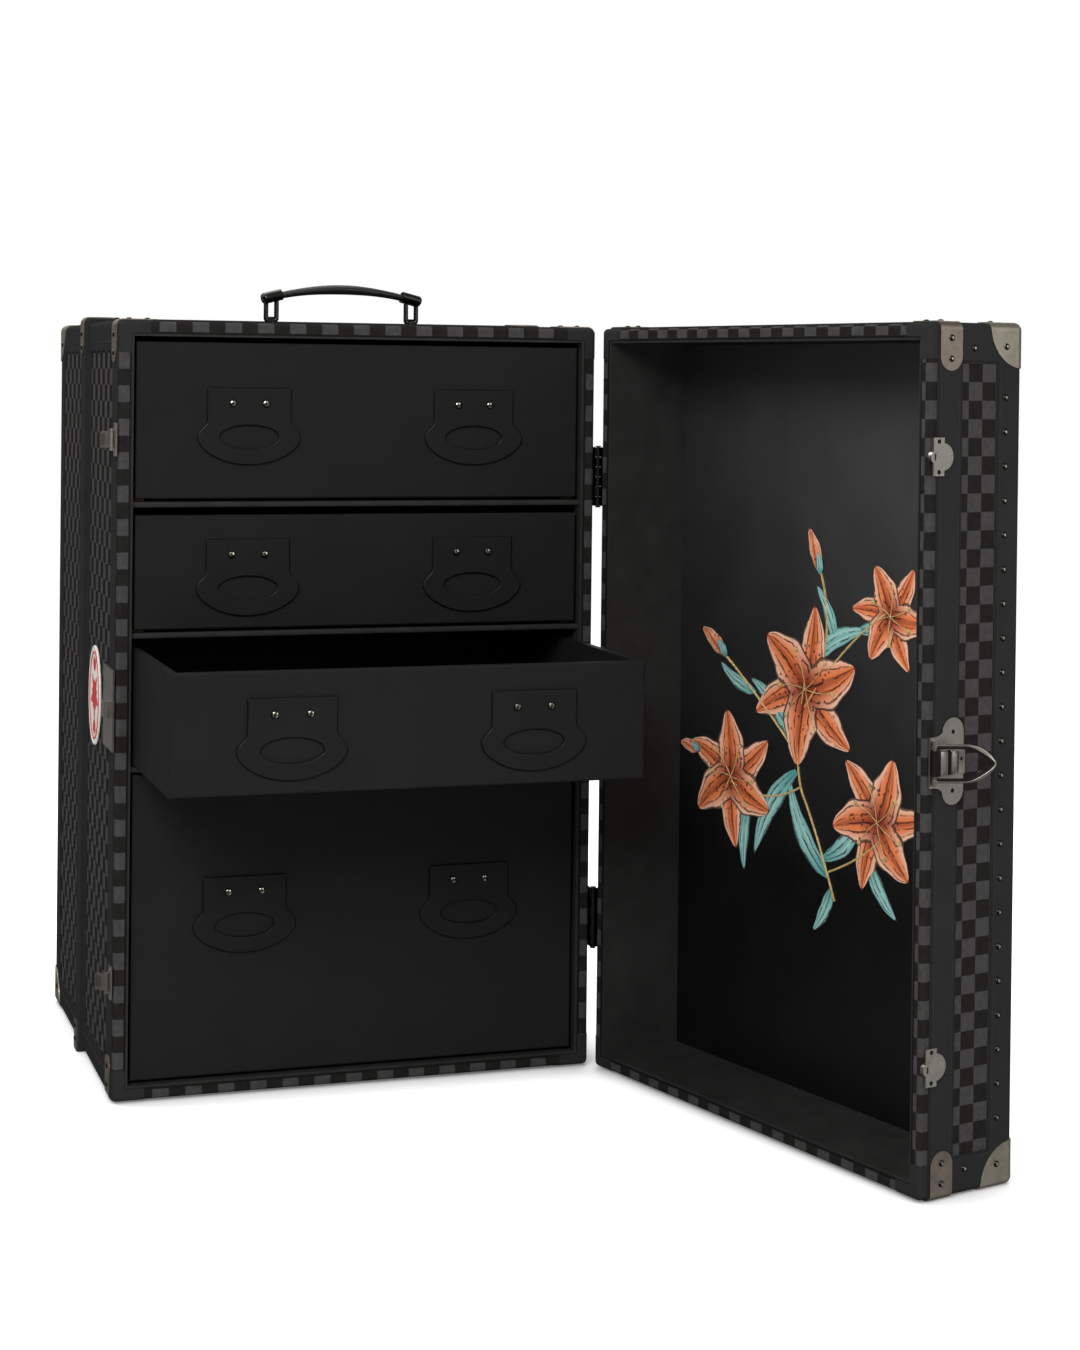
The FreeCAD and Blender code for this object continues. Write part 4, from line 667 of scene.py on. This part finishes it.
def curve(name, **settings):
    """An empty curve with its settings."""
    data = bpy.data.curves.new(name, "CURVE")
    for label, value in settings.items():
        setattr(data, label, value)
    return data


def add_line(data, knots, closed=True):
    """Adds a line to a curve through flat or solid knots in millimetres, each with its two handles' ends."""
    line = data.splines.new("BEZIER")
    line.bezier_points.add(len(knots) - 1)
    line.use_cyclic_u = closed
    for knot, places in zip(line.bezier_points, knots):
        knot.co, knot.handle_left, knot.handle_right = [Vector(place).to_3d() * MM for place in places]
    return line


def mesh_of(data):
    """The mesh of a curve, in place of the curve."""
    drawn = bpy.data.objects.new(data.name, data)
    mesh = bpy.data.meshes.new_from_object(drawn)
    bpy.data.objects.remove(drawn)
    bpy.data.curves.remove(data)
    return mesh


def plate_mesh(name, thick, rounding, loops):
    """A flat plate with rounded edges from closed outlines; the later outlines are its openings."""
    data = curve(name, dimensions="2D", fill_mode="BOTH", extrude=thick / 2 - rounding, bevel_depth=rounding,
                 bevel_resolution=2, offset=-rounding, resolution_u=10)
    for knots in loops:
        add_line(data, knots)
    return mesh_of(data)


def oval_loop(x, y, wide, tall):
    """Four knots of an ellipse, with handles of the length that rounds a quarter."""
    k = QUARTER_ROUND
    return [((x + wide, y), (x + wide, y - tall * k), (x + wide, y + tall * k)),
            ((x, y + tall), (x + wide * k, y + tall), (x - wide * k, y + tall)),
            ((x - wide, y), (x - wide, y + tall * k), (x - wide, y - tall * k)),
            ((x, y - tall), (x - wide * k, y - tall), (x + wide * k, y - tall))]


def pull_loop():
    """Straight top and sides, a flare to the widest place, and a wide round bottom."""
    half_top, half, side, belly, foot = 44, 54.5, -35, -51, -80
    right = [((half_top, 0), (half_top - 6, 0), (half_top, -6)),
             ((half_top, side), (half_top, side + 8), (half_top + 1, side - 5)),
             ((half, belly), (half - 1, belly + 8), (half + 0.5, belly - 12))]
    bottom = [((0, foot), (32, foot), (-32, foot))]
    left = [((-x, y), (-c, d), (-a, b)) for (x, y), (a, b), (c, d) in reversed(right)]
    return right + bottom + left


PULL_LOOPS = [pull_loop(), oval_loop(0, PULL_HOLE_DROP, *PULL_HOLE_HALF)]
PULL_MESH = plate_mesh("pull", PULL_THICK, 0.9 * MM, PULL_LOOPS)
for drawer, (top, front) in zip(DRAWERS, PULL_PLACES):
    bm = bmesh.new()
    for side in (-1, 1):
        place = Vector((side * PULL_SPREAD, front, top)) * MM + Vector((0, -PULL_THICK / 2, 0))
        stamped(bm, PULL_MESH, facing(place, Vector((0, -1, 0)), Vector((1, 0, 0))))
    piece = finished(drawer + "_pull_pair", bm, PULL_SKIN, drawer, 50)
    piece.data.materials.append(PULL_EDGE_PAINT_AND_SHADE)
    # The side and rounded rim faces take the near-black finish: partly real edge paint, partly painted shade
    # for the contour round each pull.
    for face in piece.data.polygons:
        face.material_index = 0 if face.normal.y < -0.97 else 1
    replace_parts(piece, drawer + "_pulls")

# ---------------------------------------------------------------------------
# Door panel.
# The panel is a black lacquered sheet. Towards its top and free side its colour is
# blended to graphite as painted light, the sheen of the lamps above; it stays black
# towards its foot and hinge side.
# ---------------------------------------------------------------------------

PANEL_BLACK = (0.0016, 0.0016, 0.0019, 1)
PANEL_PAINTED_LIGHT = (0.050, 0.050, 0.052, 1)


def blended(tree, share, first, second):
    """One colour laid over another."""
    node = add(tree, "Mix", data_type="RGBA")
    wire(tree, share, node, 0)
    wire(tree, first, node, 6)
    wire(tree, second, node, 7)
    return node.outputs[2]


def door_panel():
    material, tree, shader, place = new_material("door_panel", Specular_IOR_Level=0.5)
    slow = noise(tree, place, 60 * MM, 3, 0.5)
    fine = noise(tree, place, 1.5 * MM, 3, 0.5)
    _, y, z = axes_of(tree, place)
    # Painted light: the black is blended towards a lit graphite towards the top and the free side.
    share = times(tree, ranged(tree, z, 0.24, 0.62, 0.0, 1.0), ranged(tree, y, -0.22, -0.72, 0.42, 1.0))
    tone = blended(tree, share, PANEL_BLACK, PANEL_PAINTED_LIGHT)
    tone = toned(tree, tone, ranged(tree, slow, 0.3, 0.7, 0.92, 1.1))
    finish(tree, shader, tone, ranged(tree, slow, 0.3, 0.7, 0.43, 0.50), fine, 0.01 * MM)
    return material


dress(door_panel(), "door_panel")

# ---------------------------------------------------------------------------
# Lock: bail, and the painted shade of its lever.
# The bail is a flat band bent on edge to a pointed arch, lined inside with a second,
# near-black band that is painted shade. The lever has a keyhole and a groove where
# its thumb piece is folded over; near-black strips and discs over its gaps, groove,
# keyhole and pin barrel are painted shade.
# ---------------------------------------------------------------------------

LOCK_PIN = Vector((-264.2, -225.5, 403)) * MM
BAIL_OPEN = math.radians(30)
BAIL_HALF, BAIL_ARM, BAIL_TIP = 16.5, 28.0, 56.0


def bail_loop(name, half, tip, thick, deep, material):
    """One band of the bail: half its spread, the reach of its tip, and its section."""
    data = curve("bail", dimensions="3D", twist_mode="Z_UP", use_fill_caps=True, bevel_resolution=3,
                 extrude=(deep - thick) / 2 * MM, bevel_depth=thick / 2 * MM, resolution_u=16)
    add_line(data, [((2.5, -half), (2, -half), (10, -half)),
                    ((BAIL_ARM, -half), (18, -half), (BAIL_ARM + 11, -half + 0.4)),
                    ((tip, 0), (tip - 0.6, -3.0), (tip - 0.6, 3.0)),
                    ((BAIL_ARM, half), (BAIL_ARM + 11, half - 0.4), (18, half)),
                    ((2.5, half), (10, half), (2, half))], closed=False)
    bm = bmesh.new()
    bm.from_mesh(mesh_of(data))
    along = Vector((-math.sin(BAIL_OPEN), -math.cos(BAIL_OPEN), 0))
    bm.transform(SWUNG @ facing(LOCK_PIN, along.cross(Vector((0, 0, 1))), along))
    finished(name, bm, material, "lock_bail", 50)


def rounded(bm, edges, radius, segments):
    bmesh.ops.bevel(bm, geom=edges, offset=radius, affect="EDGES", segments=segments, profile=0.5,
                    material=-1)


def eased_block(bm, low, high, round_by):
    """A block between two corners, in millimetres, with rounded edges."""
    low, high = Vector(low) * MM, Vector(high) * MM
    place = Matrix.Translation((low + high) / 2) @ Matrix.Diagonal((*(high - low), 1))
    made = bmesh.ops.create_cube(bm, size=1, matrix=place)
    edges = {e for v in made["verts"] for e in v.link_edges}
    rounded(bm, list(edges), round_by * MM, 3)


def lever_blocks():
    """The lever's hinge block and thumb block, and near-black painted shade over the gaps, groove and keyhole
    between and in them and over the pin barrel.
    """
    blocks, marks = bmesh.new(), bmesh.new()
    for bm, low, high, round_by in (
            (blocks, (-267.0, -239.6, 392.2), (-264.6, -230.6, 413.8), 0.6),
            (blocks, (-268.3, -259.6, 391.8), (-264.6, -243.0, 414.2), 1.0),
            (marks, (-265.7, -243.4, 391.6), (-264.8, -239.2, 414.4), 0.2),
            (marks, (-265.8, -231.2, 390.9), (-264.8, -227.6, 415.1), 0.2),
            (marks, (-268.42, -250.9, 393.0), (-267.9, -249.7, 413.0), 0.08)):
        eased_block(bm, low, high, round_by)
    for segments, foot, head, depth, place in (
            (24, 2.75, 2.75, 23.9, Matrix.Translation(LOCK_PIN)),
            (20, 1.7, 1.5, 0.3, facing(Vector((-268.35, -254.6, 406)) * MM, Vector((-1, 0, 0))))):
        bmesh.ops.create_cone(marks, cap_ends=True, segments=segments, radius1=foot * MM, radius2=head * MM,
                              depth=depth * MM, matrix=place)
    for name, bm, material in (("blocks", blocks, LATCH_STEEL), ("marks", marks, LOCK_PAINTED_SHADE)):
        bm.transform(SWUNG)
        finished("lock_lever_" + name, bm, material, "lock_lever", 40)


# Near-black finish for the lock's gaps, groove, keyhole, pin barrel and the bail's inner band: painted shade.
LOCK_PAINTED_SHADE = mottled("lock_painted_shade", (0.006, 0.005, 0.004, 1), 1.0 * MM, (0.6, 1.6), (0.4, 0.7), depth=0)
bail_loop("lock_bail_rim", BAIL_HALF, BAIL_TIP, 1.3, 4.8, LATCH_STEEL)
# The inner band of the bail is painted shade.
bail_loop("lock_bail_painted_shade", BAIL_HALF - 1.8, BAIL_TIP - 3.4, 2.6, 4.0, LOCK_PAINTED_SHADE)
lever_blocks()

# ---------------------------------------------------------------------------
# Lily spray on the door panel.
# Printed and lacquered blooms in orange, coral and cream with dark veins, leaves
# in turquoise, and gilt stems and stamens, raised a little from the black panel.
# ---------------------------------------------------------------------------

ORANGE, CREAM = (0.84, 0.23, 0.085, 1), (0.93, 0.68, 0.52, 1)
THROAT, VEIN = (0.20, 0.022, 0.014, 1), (0.040, 0.012, 0.009, 1)
TURQUOISE, PALE_TURQUOISE = (0.085, 0.33, 0.32, 1), (0.36, 0.62, 0.58, 1)
GILT = (0.62, 0.45, 0.19, 1)
PANEL_Y = -319.5 * MM
PANEL_FACE = SWUNG @ Matrix(((-1, 0, 0, 0), (0, 0, 1, PANEL_Y), (0, 1, 0, 0), (0, 0, 0, 1)))


def step(tree, value, start, end):
    """0 before the start, 1 after the end."""
    return ranged(tree, value, start, end, 0, 1)


def printed(name, first, second, third, veins, spotted):
    """Ink on a blade: from its foot to its tip, paler along its sides, veined, spotted and outlined."""
    material, tree, shader, place = new_material(name, IOR=1.3)
    across, along, _ = axes_of(tree, add(tree, "TexCoord").outputs["UV"])
    side = math_of(tree, "ABSOLUTE", math_of(tree, "MULTIPLY_ADD", across, 2.0, -1.0))
    wander = noise(tree, place, 14 * MM, 3, 0.6)
    tone = blended(tree, step(tree, along, 0.05, 0.45), first, second)
    pale = times(tree, step(tree, side, 0.35, 0.95), step(tree, along, 0.1, 0.5))
    tone = blended(tree, times(tree, pale, 0.85), tone, third)
    shaded = times(tree, step(tree, math_of(tree, "SUBTRACT", 0.16, side), -0.1, 0.1), 0.55)
    tone = blended(tree, shaded, tone, first)
    angle = math_of(tree, "MULTIPLY_ADD", across, 2 * math.pi * veins, times(tree, wander, 6.0))
    dark = step(tree, math_of(tree, "SINE", angle), 0.62, 0.86)
    dark = times(tree, dark, step(tree, wander, 0.36, 0.52))
    if spotted:
        cells = add(tree, "TexVoronoi", place)
        wire(tree, 1 / (7 * MM), cells, "Scale")
        dots = step(tree, math_of(tree, "SUBTRACT", 0.26, cells.outputs["Distance"]), 0, 0.06)
        near = step(tree, math_of(tree, "SUBTRACT", 0.7, along), 0, 0.2)
        dark = math_of(tree, "MAXIMUM", dark, times(tree, dots, near))
    rim = math_of(tree, "MAXIMUM", step(tree, side, 0.88, 0.93), step(tree, along, 0.955, 0.975))
    dark = math_of(tree, "MAXIMUM", times(tree, dark, 0.85), times(tree, rim, 0.9))
    tone = blended(tree, dark, tone, VEIN)
    finish(tree, shader, tone, ranged(tree, wander, 0.3, 0.7, 0.35, 0.47), dark, -0.1 * MM)
    return material


def blade(bm, foot, lean, length, width, curl, lift, belly=0.8, camber=0.5):
    """A petal or a leaf from its foot: lean and curl turn it, belly moves its widest place."""
    grid = bmesh.ops.create_grid(bm, x_segments=6, y_segments=14, size=1, calc_uvs=True)
    for vert in grid["verts"]:
        side, along = vert.co.x, (vert.co.y + 1) / 2
        turn = math.radians(lean + curl * along)
        half = width / 2 * math.sin(math.pi * max(along, 0.02) ** belly) ** 0.75 + 0.2
        ripple = 1 + 0.07 * math.sin(along * 17 + lean) * abs(side)
        bend = math.radians(lean + curl * along / 2)
        a = foot[0] + math.cos(bend) * length * along - math.sin(turn) * half * side * ripple
        b = foot[1] + math.sin(bend) * length * along + math.cos(turn) * half * side * ripple
        vert.co = Vector((a, b, lift + camber * (1 - side * side) * math.sin(math.pi * along))) * MM


def tip_of(start, lean, reach):
    """The end of a line from a start, turned by a lean in degrees."""
    return (start[0] + reach * math.cos(math.radians(lean)), start[1] + reach * math.sin(math.radians(lean)))


def thread(bm, points, radius, lift):
    """A fine raised line through points of the panel."""
    data = curve("line", dimensions="3D", bevel_depth=radius * MM, bevel_resolution=1, resolution_u=8)
    line = data.splines.new("NURBS")
    line.points.add(len(points) - 1)
    for knot, (a, b) in zip(line.points, points):
        knot.co = (a * MM, b * MM, lift * MM, 1)
    line.order_u = 3
    line.use_endpoint_u = True
    bm.from_mesh(mesh_of(data))


def bloom(petals, gold, centre, radius, turn):
    """Three petals behind, three in front, and six stamens."""
    for ring, (reach, wide, lift) in enumerate(((1.0, 0.46, 0.7), (0.93, 0.58, 1.2))):
        for number in range(3):
            lean = turn + number * 120 + ring * 60
            blade(petals, tip_of(centre, lean, -3), lean - 9, radius * reach, radius * wide, 22, lift, 0.72)
    for number in range(6):
        lean = turn + 20 + number * 60 + 9 * math.sin(number * 2.1)
        bend, tip = tip_of(centre, lean, radius * 0.2), tip_of(centre, lean + 12, radius * 0.44)
        thread(gold, [centre, bend, tip], 0.5, 1.9)
        across = Vector((*tip_of((0, 0), lean + 102, 1), 0))
        stamped(gold, ANTHER, facing(Vector((*tip_of(centre, lean + 12, radius * 0.46), 2.0)) * MM,
                                     Vector((0, 0, 1)), across))


def lily_spray():
    petals, leaves, gold = bmesh.new(), bmesh.new(), bmesh.new()
    for bm in (petals, leaves):
        bm.loops.layers.uv.new("UVMap")
    for points in (((20, 222), (-10, 290), (-50, 350), (-30, 440)), ((10, 250), (60, 270), (95, 300)),
                   ((-35, 330), (-90, 300), (-150, 320)), ((-40, 400), (20, 480), (92, 520)),
                   ((-50, 370), (-110, 420), (-165, 455)), ((0, 470), (10, 520), (-10, 560))):
        thread(gold, points, 1.3, 0.4)
    for foot, lean, length, width, curl in (
            ((10, 245), 150, 110, 24, -50), ((0, 262), 20, 92, 20, 46), ((-42, 345), 215, 118, 24, 40),
            ((-46, 372), 120, 96, 20, 40), ((-20, 460), 48, 96, 20, -46), ((18, 478), 100, 70, 16, 34),
            ((-120, 302), 250, 74, 18, 30), ((70, 275), 290, 70, 18, 36), ((50, 500), 5, 60, 15, 34),
            ((-110, 420), 175, 66, 15, -36), ((15, 235), 255, 56, 16, -30)):
        blade(leaves, foot, lean, length, width, curl, 0.5, 0.8, 0.4)
    for foot, lean, length, width in (((-160, 452), 140, 52, 19), ((-8, 552), 105, 50, 18),
                                      ((-205, 345), 165, 36, 15)):
        blade(petals, foot, lean, length, width, 14, 0.8, 0.9)
        blade(petals, foot, lean + 12, length * 0.9, width * 0.6, -20, 1.1, 0.9)
        blade(leaves, foot, lean - 20, length * 0.45, width * 0.6, 30, 1.5, 0.8)
    for centre, radius, turn in (((-150, 325), 80, 35), ((-28, 432), 92, 80), ((84, 312), 78, 10),
                                 ((100, 518), 62, 55)):
        bloom(petals, gold, centre, radius, turn)
    bmesh.ops.recalc_face_normals(gold, faces=gold.faces)
    for name, bm, material in (("petals", petals, LILY_INK), ("leaves", leaves, LEAF_INK),
                               ("stems", gold, GILT_INK)):
        bm.transform(PANEL_FACE)
        finished("door_lily_" + name, bm, material, "door", 60)


LILY_INK = printed("lily_ink", THROAT, ORANGE, CREAM, 5, True)
LEAF_INK = printed("leaf_ink", TURQUOISE, PALE_TURQUOISE, TURQUOISE, 3, False)
GILT_INK = mottled("gilt_print", GILT, 3 * MM, (0.55, 1.25), (0.25, 0.45), detail=4, grit=0.6)
ANTHER = dome(2.6 * MM, 1.0 * MM)
lily_spray()

# ---------------------------------------------------------------------------
# Oval badge on the left side.
# Pale hide with an overlocked edge, a red sewn line and a small rosette of red
# leather petals.
# ---------------------------------------------------------------------------

PATCH_LEATHER = (0.76, 0.74, 0.70, 1)
BADGE_RED = (0.56, 0.030, 0.030, 1)
BADGE_AT = Vector((-258, -79, 403)) * MM
BADGE_FACE = Matrix.Translation(BADGE_AT) @ Matrix(((0, 0, -1, 0), (-1, 0, 0, 0), (0, 1, 0, 0), (0, 0, 0, 1)))


def ring_tube(half_wide, half_tall, radius, lift):
    """A closed oval cord on the badge."""
    data = curve("ring", dimensions="3D", bevel_depth=radius * MM, bevel_resolution=3, resolution_u=24)
    add_line(data, [[(*place, lift) for place in knot] for knot in oval_loop(0, 0, half_wide, half_tall)])
    return mesh_of(data)


def badge():
    """The oval plate with its overlocked edge, and the rosette, buds and sewn line on it."""
    plate = bmesh.new()
    stamped(plate, plate_mesh("badge", 2.0 * MM, 0.4 * MM, [oval_loop(0, 0, 38, 52.5)]),
            Matrix.Translation((0, 0, 1.0 * MM)))
    plate.from_mesh(ring_tube(37.6, 52.1, 1.4, 1.45))
    plate.transform(BADGE_FACE)
    pale = hide("badge_leather", PATCH_LEATHER, 1.0 * MM, 0.08, (0.5, 0.62))
    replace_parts(finished("side_badge", plate, pale, "case", 50), "side_patch")
    red = bmesh.new()
    red.loops.layers.uv.new("UVMap")
    for number in range(10):
        blade(red, (0, 0), number * 36 + 18, 27 if number % 2 else 18, 9, 0, 2.1, 0.9, 0.6)
    for side in (-1, 1):
        for lean in (58, 90, 122):
            blade(red, (0, side * 26), side * lean, 17, 8, 0, 2.1, 0.9, 0.5)
    red.from_mesh(ring_tube(32.0, 46.5, 0.9, 2.1))
    red.transform(BADGE_FACE)
    dyed = hide("badge_red", BADGE_RED, 0.8 * MM, 0.1, (0.45, 0.55))
    finished("side_badge_rosette", red, dyed, "case", 60)


badge()

# ---------------------------------------------------------------------------
# Grip of the handle.
# Leather sewn round a core: thickest in the middle, thinner towards the steel
# ends, with two seams along its top.
# ---------------------------------------------------------------------------

GRIP_LEATHER = (0.0105, 0.0100, 0.0096, 1)
GRIP_CENTRE = Vector((0, -115, 531.1)) * MM
GRIP_BOW = 312.3
GRIP_THICK = 5.3
GRIP_TURN = math.radians(12.77)
GRIP_SLIM = 0.30
GRIP_SKIN = hide("grip_leather", GRIP_LEATHER, 0.9 * MM, 0.15, (0.36, 0.48), Specular_IOR_Level=0.45)
GRIP_THREAD = mottled("grip_thread", (0.05, 0.046, 0.04, 1), 0.5 * MM, ior=1.2, detail=2)


def grip():
    """The tapered grip, drawn round and then widened to its oval section, and its two seams."""
    def along_bow(angle):
        return Vector((math.sin(angle), 0, math.cos(angle))), Vector((math.cos(angle), 0, -math.sin(angle)))

    data = curve("grip", dimensions="3D", twist_mode="Z_UP", use_fill_caps=True, bevel_depth=GRIP_THICK * MM,
                 bevel_resolution=6, resolution_u=24)
    pull = 4 / 3 * math.tan(GRIP_TURN / 4) * GRIP_BOW
    knots = [[out * GRIP_BOW + along * reach for reach in (0, -pull, pull)]
             for out, along in map(along_bow, (-GRIP_TURN, 0, GRIP_TURN))]
    line = add_line(data, knots, closed=False)
    line.radius_interpolation = "EASE"
    for end in (0, -1):
        line.bezier_points[end].radius = 1 - GRIP_SLIM
    skin = bmesh.new()
    skin.from_mesh(mesh_of(data))
    skin.transform(Matrix.Translation(GRIP_CENTRE) @ Matrix.Diagonal((1, 8.5 / GRIP_THICK, 1, 1)))
    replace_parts(finished("handle_grip_leather", skin, GRIP_SKIN, "handle", 50), "handle_grip")
    seams = bmesh.new()
    for number in range(-15, 16):
        angle = number * 4.35 / GRIP_BOW
        share = abs(angle) / GRIP_TURN
        slim = 1 - GRIP_SLIM * share * share * (3 - 2 * share)
        out, along = along_bow(angle)
        for side in (-1, 1):
            seam = out * (GRIP_BOW + 0.81 * GRIP_THICK * slim) + Vector((0, side * 5.1 * slim, 0))
            stamped(seams, STITCH, facing(GRIP_CENTRE + seam * MM, out, along))
    finished("handle_stitches", seams, GRIP_THREAD, "handle")


grip()

# ---------------------------------------------------------------------------
# Leather pads over the corners of both rims.
# Thin skived leather, folded round the corner from the rim to the edge binding,
# so that the canvas never shows a raw corner.
# ---------------------------------------------------------------------------

BOARDS_LOW = Vector((-258.0, 0, 3.0)) * MM
BOARDS_HIGH = Vector((258.0, 0, 803.0)) * MM
WALL = 12 * MM
CORNER_ROUND = 5 * MM
RIM_ROUND = 4 * MM
PAD_THICK = 0.5 * MM
PAD_GROWN = Vector((PAD_THICK, 0, PAD_THICK))
PAD_LEG = 32 * MM
RIM_WRAP = 9 * MM
FOLD_X, FOLD_Z, FOLD_MIDDLE, FOLD_HALF = 246.7, 388.7, 403, 0.9
CASE_RIM, DOOR_RIM = -218.0 * MM, -219.5 * MM


def rim_pads(name, body, rim, back, turn):
    """The four pads of one rim, at rim in Y; back is +1 when the boards lie behind it, else -1."""
    bm = bmesh.new()
    low, high = BOARDS_LOW - PAD_GROWN, BOARDS_HIGH + PAD_GROWN
    front, rear = rim - back * PAD_THICK, rim + back * RIM_WRAP
    size = Vector((high.x - low.x, abs(rear - front), high.z - low.z))
    middle = Vector((0, (front + rear) / 2, (low.z + high.z) / 2))
    bmesh.ops.create_cube(bm, size=1, matrix=Matrix.Translation(middle) @ Matrix.Diagonal((*size, 1)))
    along = [e for e in bm.edges if abs(e.verts[0].co.y - e.verts[1].co.y) > size.y / 2]
    rounded(bm, along, CORNER_ROUND + PAD_THICK, 6)
    ring = [e for e in bm.edges if all(abs(v.co.y - front) < 1e-6 for v in e.verts)]
    rounded(bm, ring, RIM_ROUND + PAD_THICK, 4)
    open_side = [f for f in bm.faces if all(abs(v.co.y - rear) < 1e-6 for v in f.verts)]
    bmesh.ops.delete(bm, geom=open_side, context="FACES")
    for side, end in ((-1, BOARDS_LOW.z), (1, BOARDS_HIGH.z)):
        for inward in (PAD_LEG, WALL):
            cut(bm, (side * (BOARDS_HIGH.x - inward), 0, 0), (1, 0, 0))
        for inward in (PAD_LEG, WALL):
            cut(bm, (0, 0, end - side * inward), (0, 0, 1))

    def outside_corner(face):
        at = face.calc_center_median()
        from_side = BOARDS_HIGH.x - abs(at.x)
        from_end = min(at.z - BOARDS_LOW.z, BOARDS_HIGH.z - at.z)
        leg = from_side < PAD_LEG and from_end < PAD_LEG
        return not leg or (from_side > WALL and from_end > WALL)

    bmesh.ops.delete(bm, geom=[f for f in bm.faces if outside_corner(f)], context="FACES")
    bmesh.ops.recalc_face_normals(bm, faces=bm.faces)
    bmesh.ops.solidify(bm, geom=bm.faces[:], thickness=PAD_THICK * 0.9)
    bmesh.ops.recalc_face_normals(bm, faces=bm.faces)
    bm.transform(turn)
    finished(name, bm, BINDING, body, 35)


def rim_fold(name, body, rim, back, turn):
    """The lining's edge, folded over the inner side of a rim as a strip on each of its four sides, coloured
    far darker than the lining as painted shade along the rim's inner edge.
    """
    bm = bmesh.new()
    near, far = sorted((rim / MM - back * 0.3, rim / MM + back * 1.5))
    for side in (-1, 1):
        x, z = side * FOLD_X, FOLD_MIDDLE + side * FOLD_Z
        reach = FOLD_X + FOLD_HALF
        eased_block(bm, (x - FOLD_HALF, near, 14.2), (x + FOLD_HALF, far, 791.8), 0.2)
        eased_block(bm, (-reach, near, z - FOLD_HALF), (reach, far, z + FOLD_HALF), 0.2)
    bm.transform(turn)
    finished(name, bm, FOLD_PAINTED_SHADE, body, 35)


# The fold is a near-black copy of the lining cloth: painted shade along the inner edge of each rim.
FOLD_PAINTED_SHADE = mottled("folded_lining_painted_shade", (0.008, 0.008, 0.0075, 1), 0.5 * MM, ior=1.2, detail=2)
for draw, name in ((rim_pads, "rim_pads"), (rim_fold, "rim_fold")):
    draw("case_" + name, "case", CASE_RIM, 1, Matrix())
    draw("door_" + name, "door", DOOR_RIM, -1, SWUNG)

# ---------------------------------------------------------------------------
# Studio: a pale floor and a room that is white behind the trunk, with five soft
# lamps. The camera stands a little left of the middle, level with the top of
# the trunk.
# ---------------------------------------------------------------------------

FLOOR_LIGHT = (0.70, -0.44, -0.56)


def seen_rays(tree):
    """1 for the rays that show the background: those of the camera, and those that pass through something."""
    rays = add(tree, "LightPath")
    return math_of(tree, "MAXIMUM", rays.outputs["Is Camera Ray"], rays.outputs["Is Transmission Ray"])


def studio_floor():
    """A matt white floor that also shows white to the camera; close beside whatever stands on it, ambient
    occlusion dims that glow as a painted contact shadow.
    """
    bm = bmesh.new()
    bmesh.ops.create_circle(bm, radius=14.0, segments=64, cap_ends=True)
    floor = bpy.data.objects.new("studio_floor", mesh_from(bm, "studio_floor"))
    scene.collection.objects.link(floor)
    material, tree, shader, place = new_material("studio_floor", Base_Color=(0.8, 0.8, 0.8, 1), Roughness=1.0,
                                                 Specular_IOR_Level=0.0)
    floor.data.materials.append(material)
    # Painted contact shadow: ambient occlusion dims the floor's glow close beside the trunk.
    near = add(tree, "AmbientOcclusion", samples=12)
    wire(tree, 0.07, near, "Distance")
    glow_with_painted_shadow = ranged(tree, near.outputs["AO"], 0.4, 1.0, 0.15, 0.84)
    wire(tree, (1, 1, 1, 1), shader, "Emission Color")
    wire(tree, times(tree, seen_rays(tree), glow_with_painted_shadow), shader, "Emission Strength")
    floor.visible_glossy = False


def room():
    """Grey light, darker below, with a patch of floor light on the right; the camera sees white."""
    world = bpy.data.worlds.new("room")
    scene.world = world
    world.use_nodes = True
    tree = world.node_tree
    direction = add(tree, "TexCoord").outputs["Generated"]
    height = axes_of(tree, direction)[2]
    patch = add(tree, "VectorMath", direction, FLOOR_LIGHT, operation="DOT_PRODUCT")
    light = math_of(tree, "ADD", ranged(tree, height, -0.6, 0.8, 0.11, 0.27),
                    ranged(tree, patch.outputs["Value"], 0.78, 0.98, 0.0, 0.32))
    wire(tree, (1, 1, 1, 1), tree.nodes["Background"], "Color")
    wire(tree, math_of(tree, "MAXIMUM", light, seen_rays(tree)), tree.nodes["Background"], "Strength")


studio_floor()
room()
TRUNK_MIDDLE = Vector((0.1, -0.2, 0.4))


def lamp(name, at, power, size):
    """A soft square lamp aimed at the middle of the trunk."""
    data = bpy.data.lights.new(name, "AREA")
    data.energy = power
    data.size = size
    lit = bpy.data.objects.new(name, data)
    lit.location = at
    aim = TRUNK_MIDDLE - Vector(at)
    lit.rotation_euler = aim.to_track_quat("-Z", "Y").to_euler()
    lit.visible_camera = False
    scene.collection.objects.link(lit)


lamp("key_lamp", (-1.5, -2.9, 2.3), 80, 1.4)
lamp("fill_lamp", (2.2, -3.2, 1.6), 30, 2.0)
lamp("top_lamp", (-0.3, 0.8, 2.8), 42, 2.2)
lamp("rear_lamp", (1.6, 3.0, 2.2), 30, 2.0)
lamp("side_lamp", (-1.0, 0.6, 1.75), 8, 1.2)

CAMERA_AT = Vector((-0.6443, -2.6959, 0.7477))
LOOKING = Vector((0.31097, 0.95037, -0.00986)).normalized()
UPWARDS = Vector((-0.00758, 0.01285, 0.99989))
LENS, FILM, SHIFT = 64.67, 36, (0.0188, -0.2013)


def place_camera():
    right = LOOKING.cross(UPWARDS).normalized()
    view = bpy.data.cameras.new("view")
    view.lens, view.sensor_width, view.clip_end = LENS, FILM, 60
    view.shift_x, view.shift_y = SHIFT
    camera = bpy.data.objects.new("view", view)
    turned = Matrix((right, right.cross(LOOKING), -LOOKING)).transposed().to_4x4()
    camera.matrix_world = Matrix.Translation(CAMERA_AT) @ turned
    scene.collection.objects.link(camera)
    scene.camera = camera


place_camera()
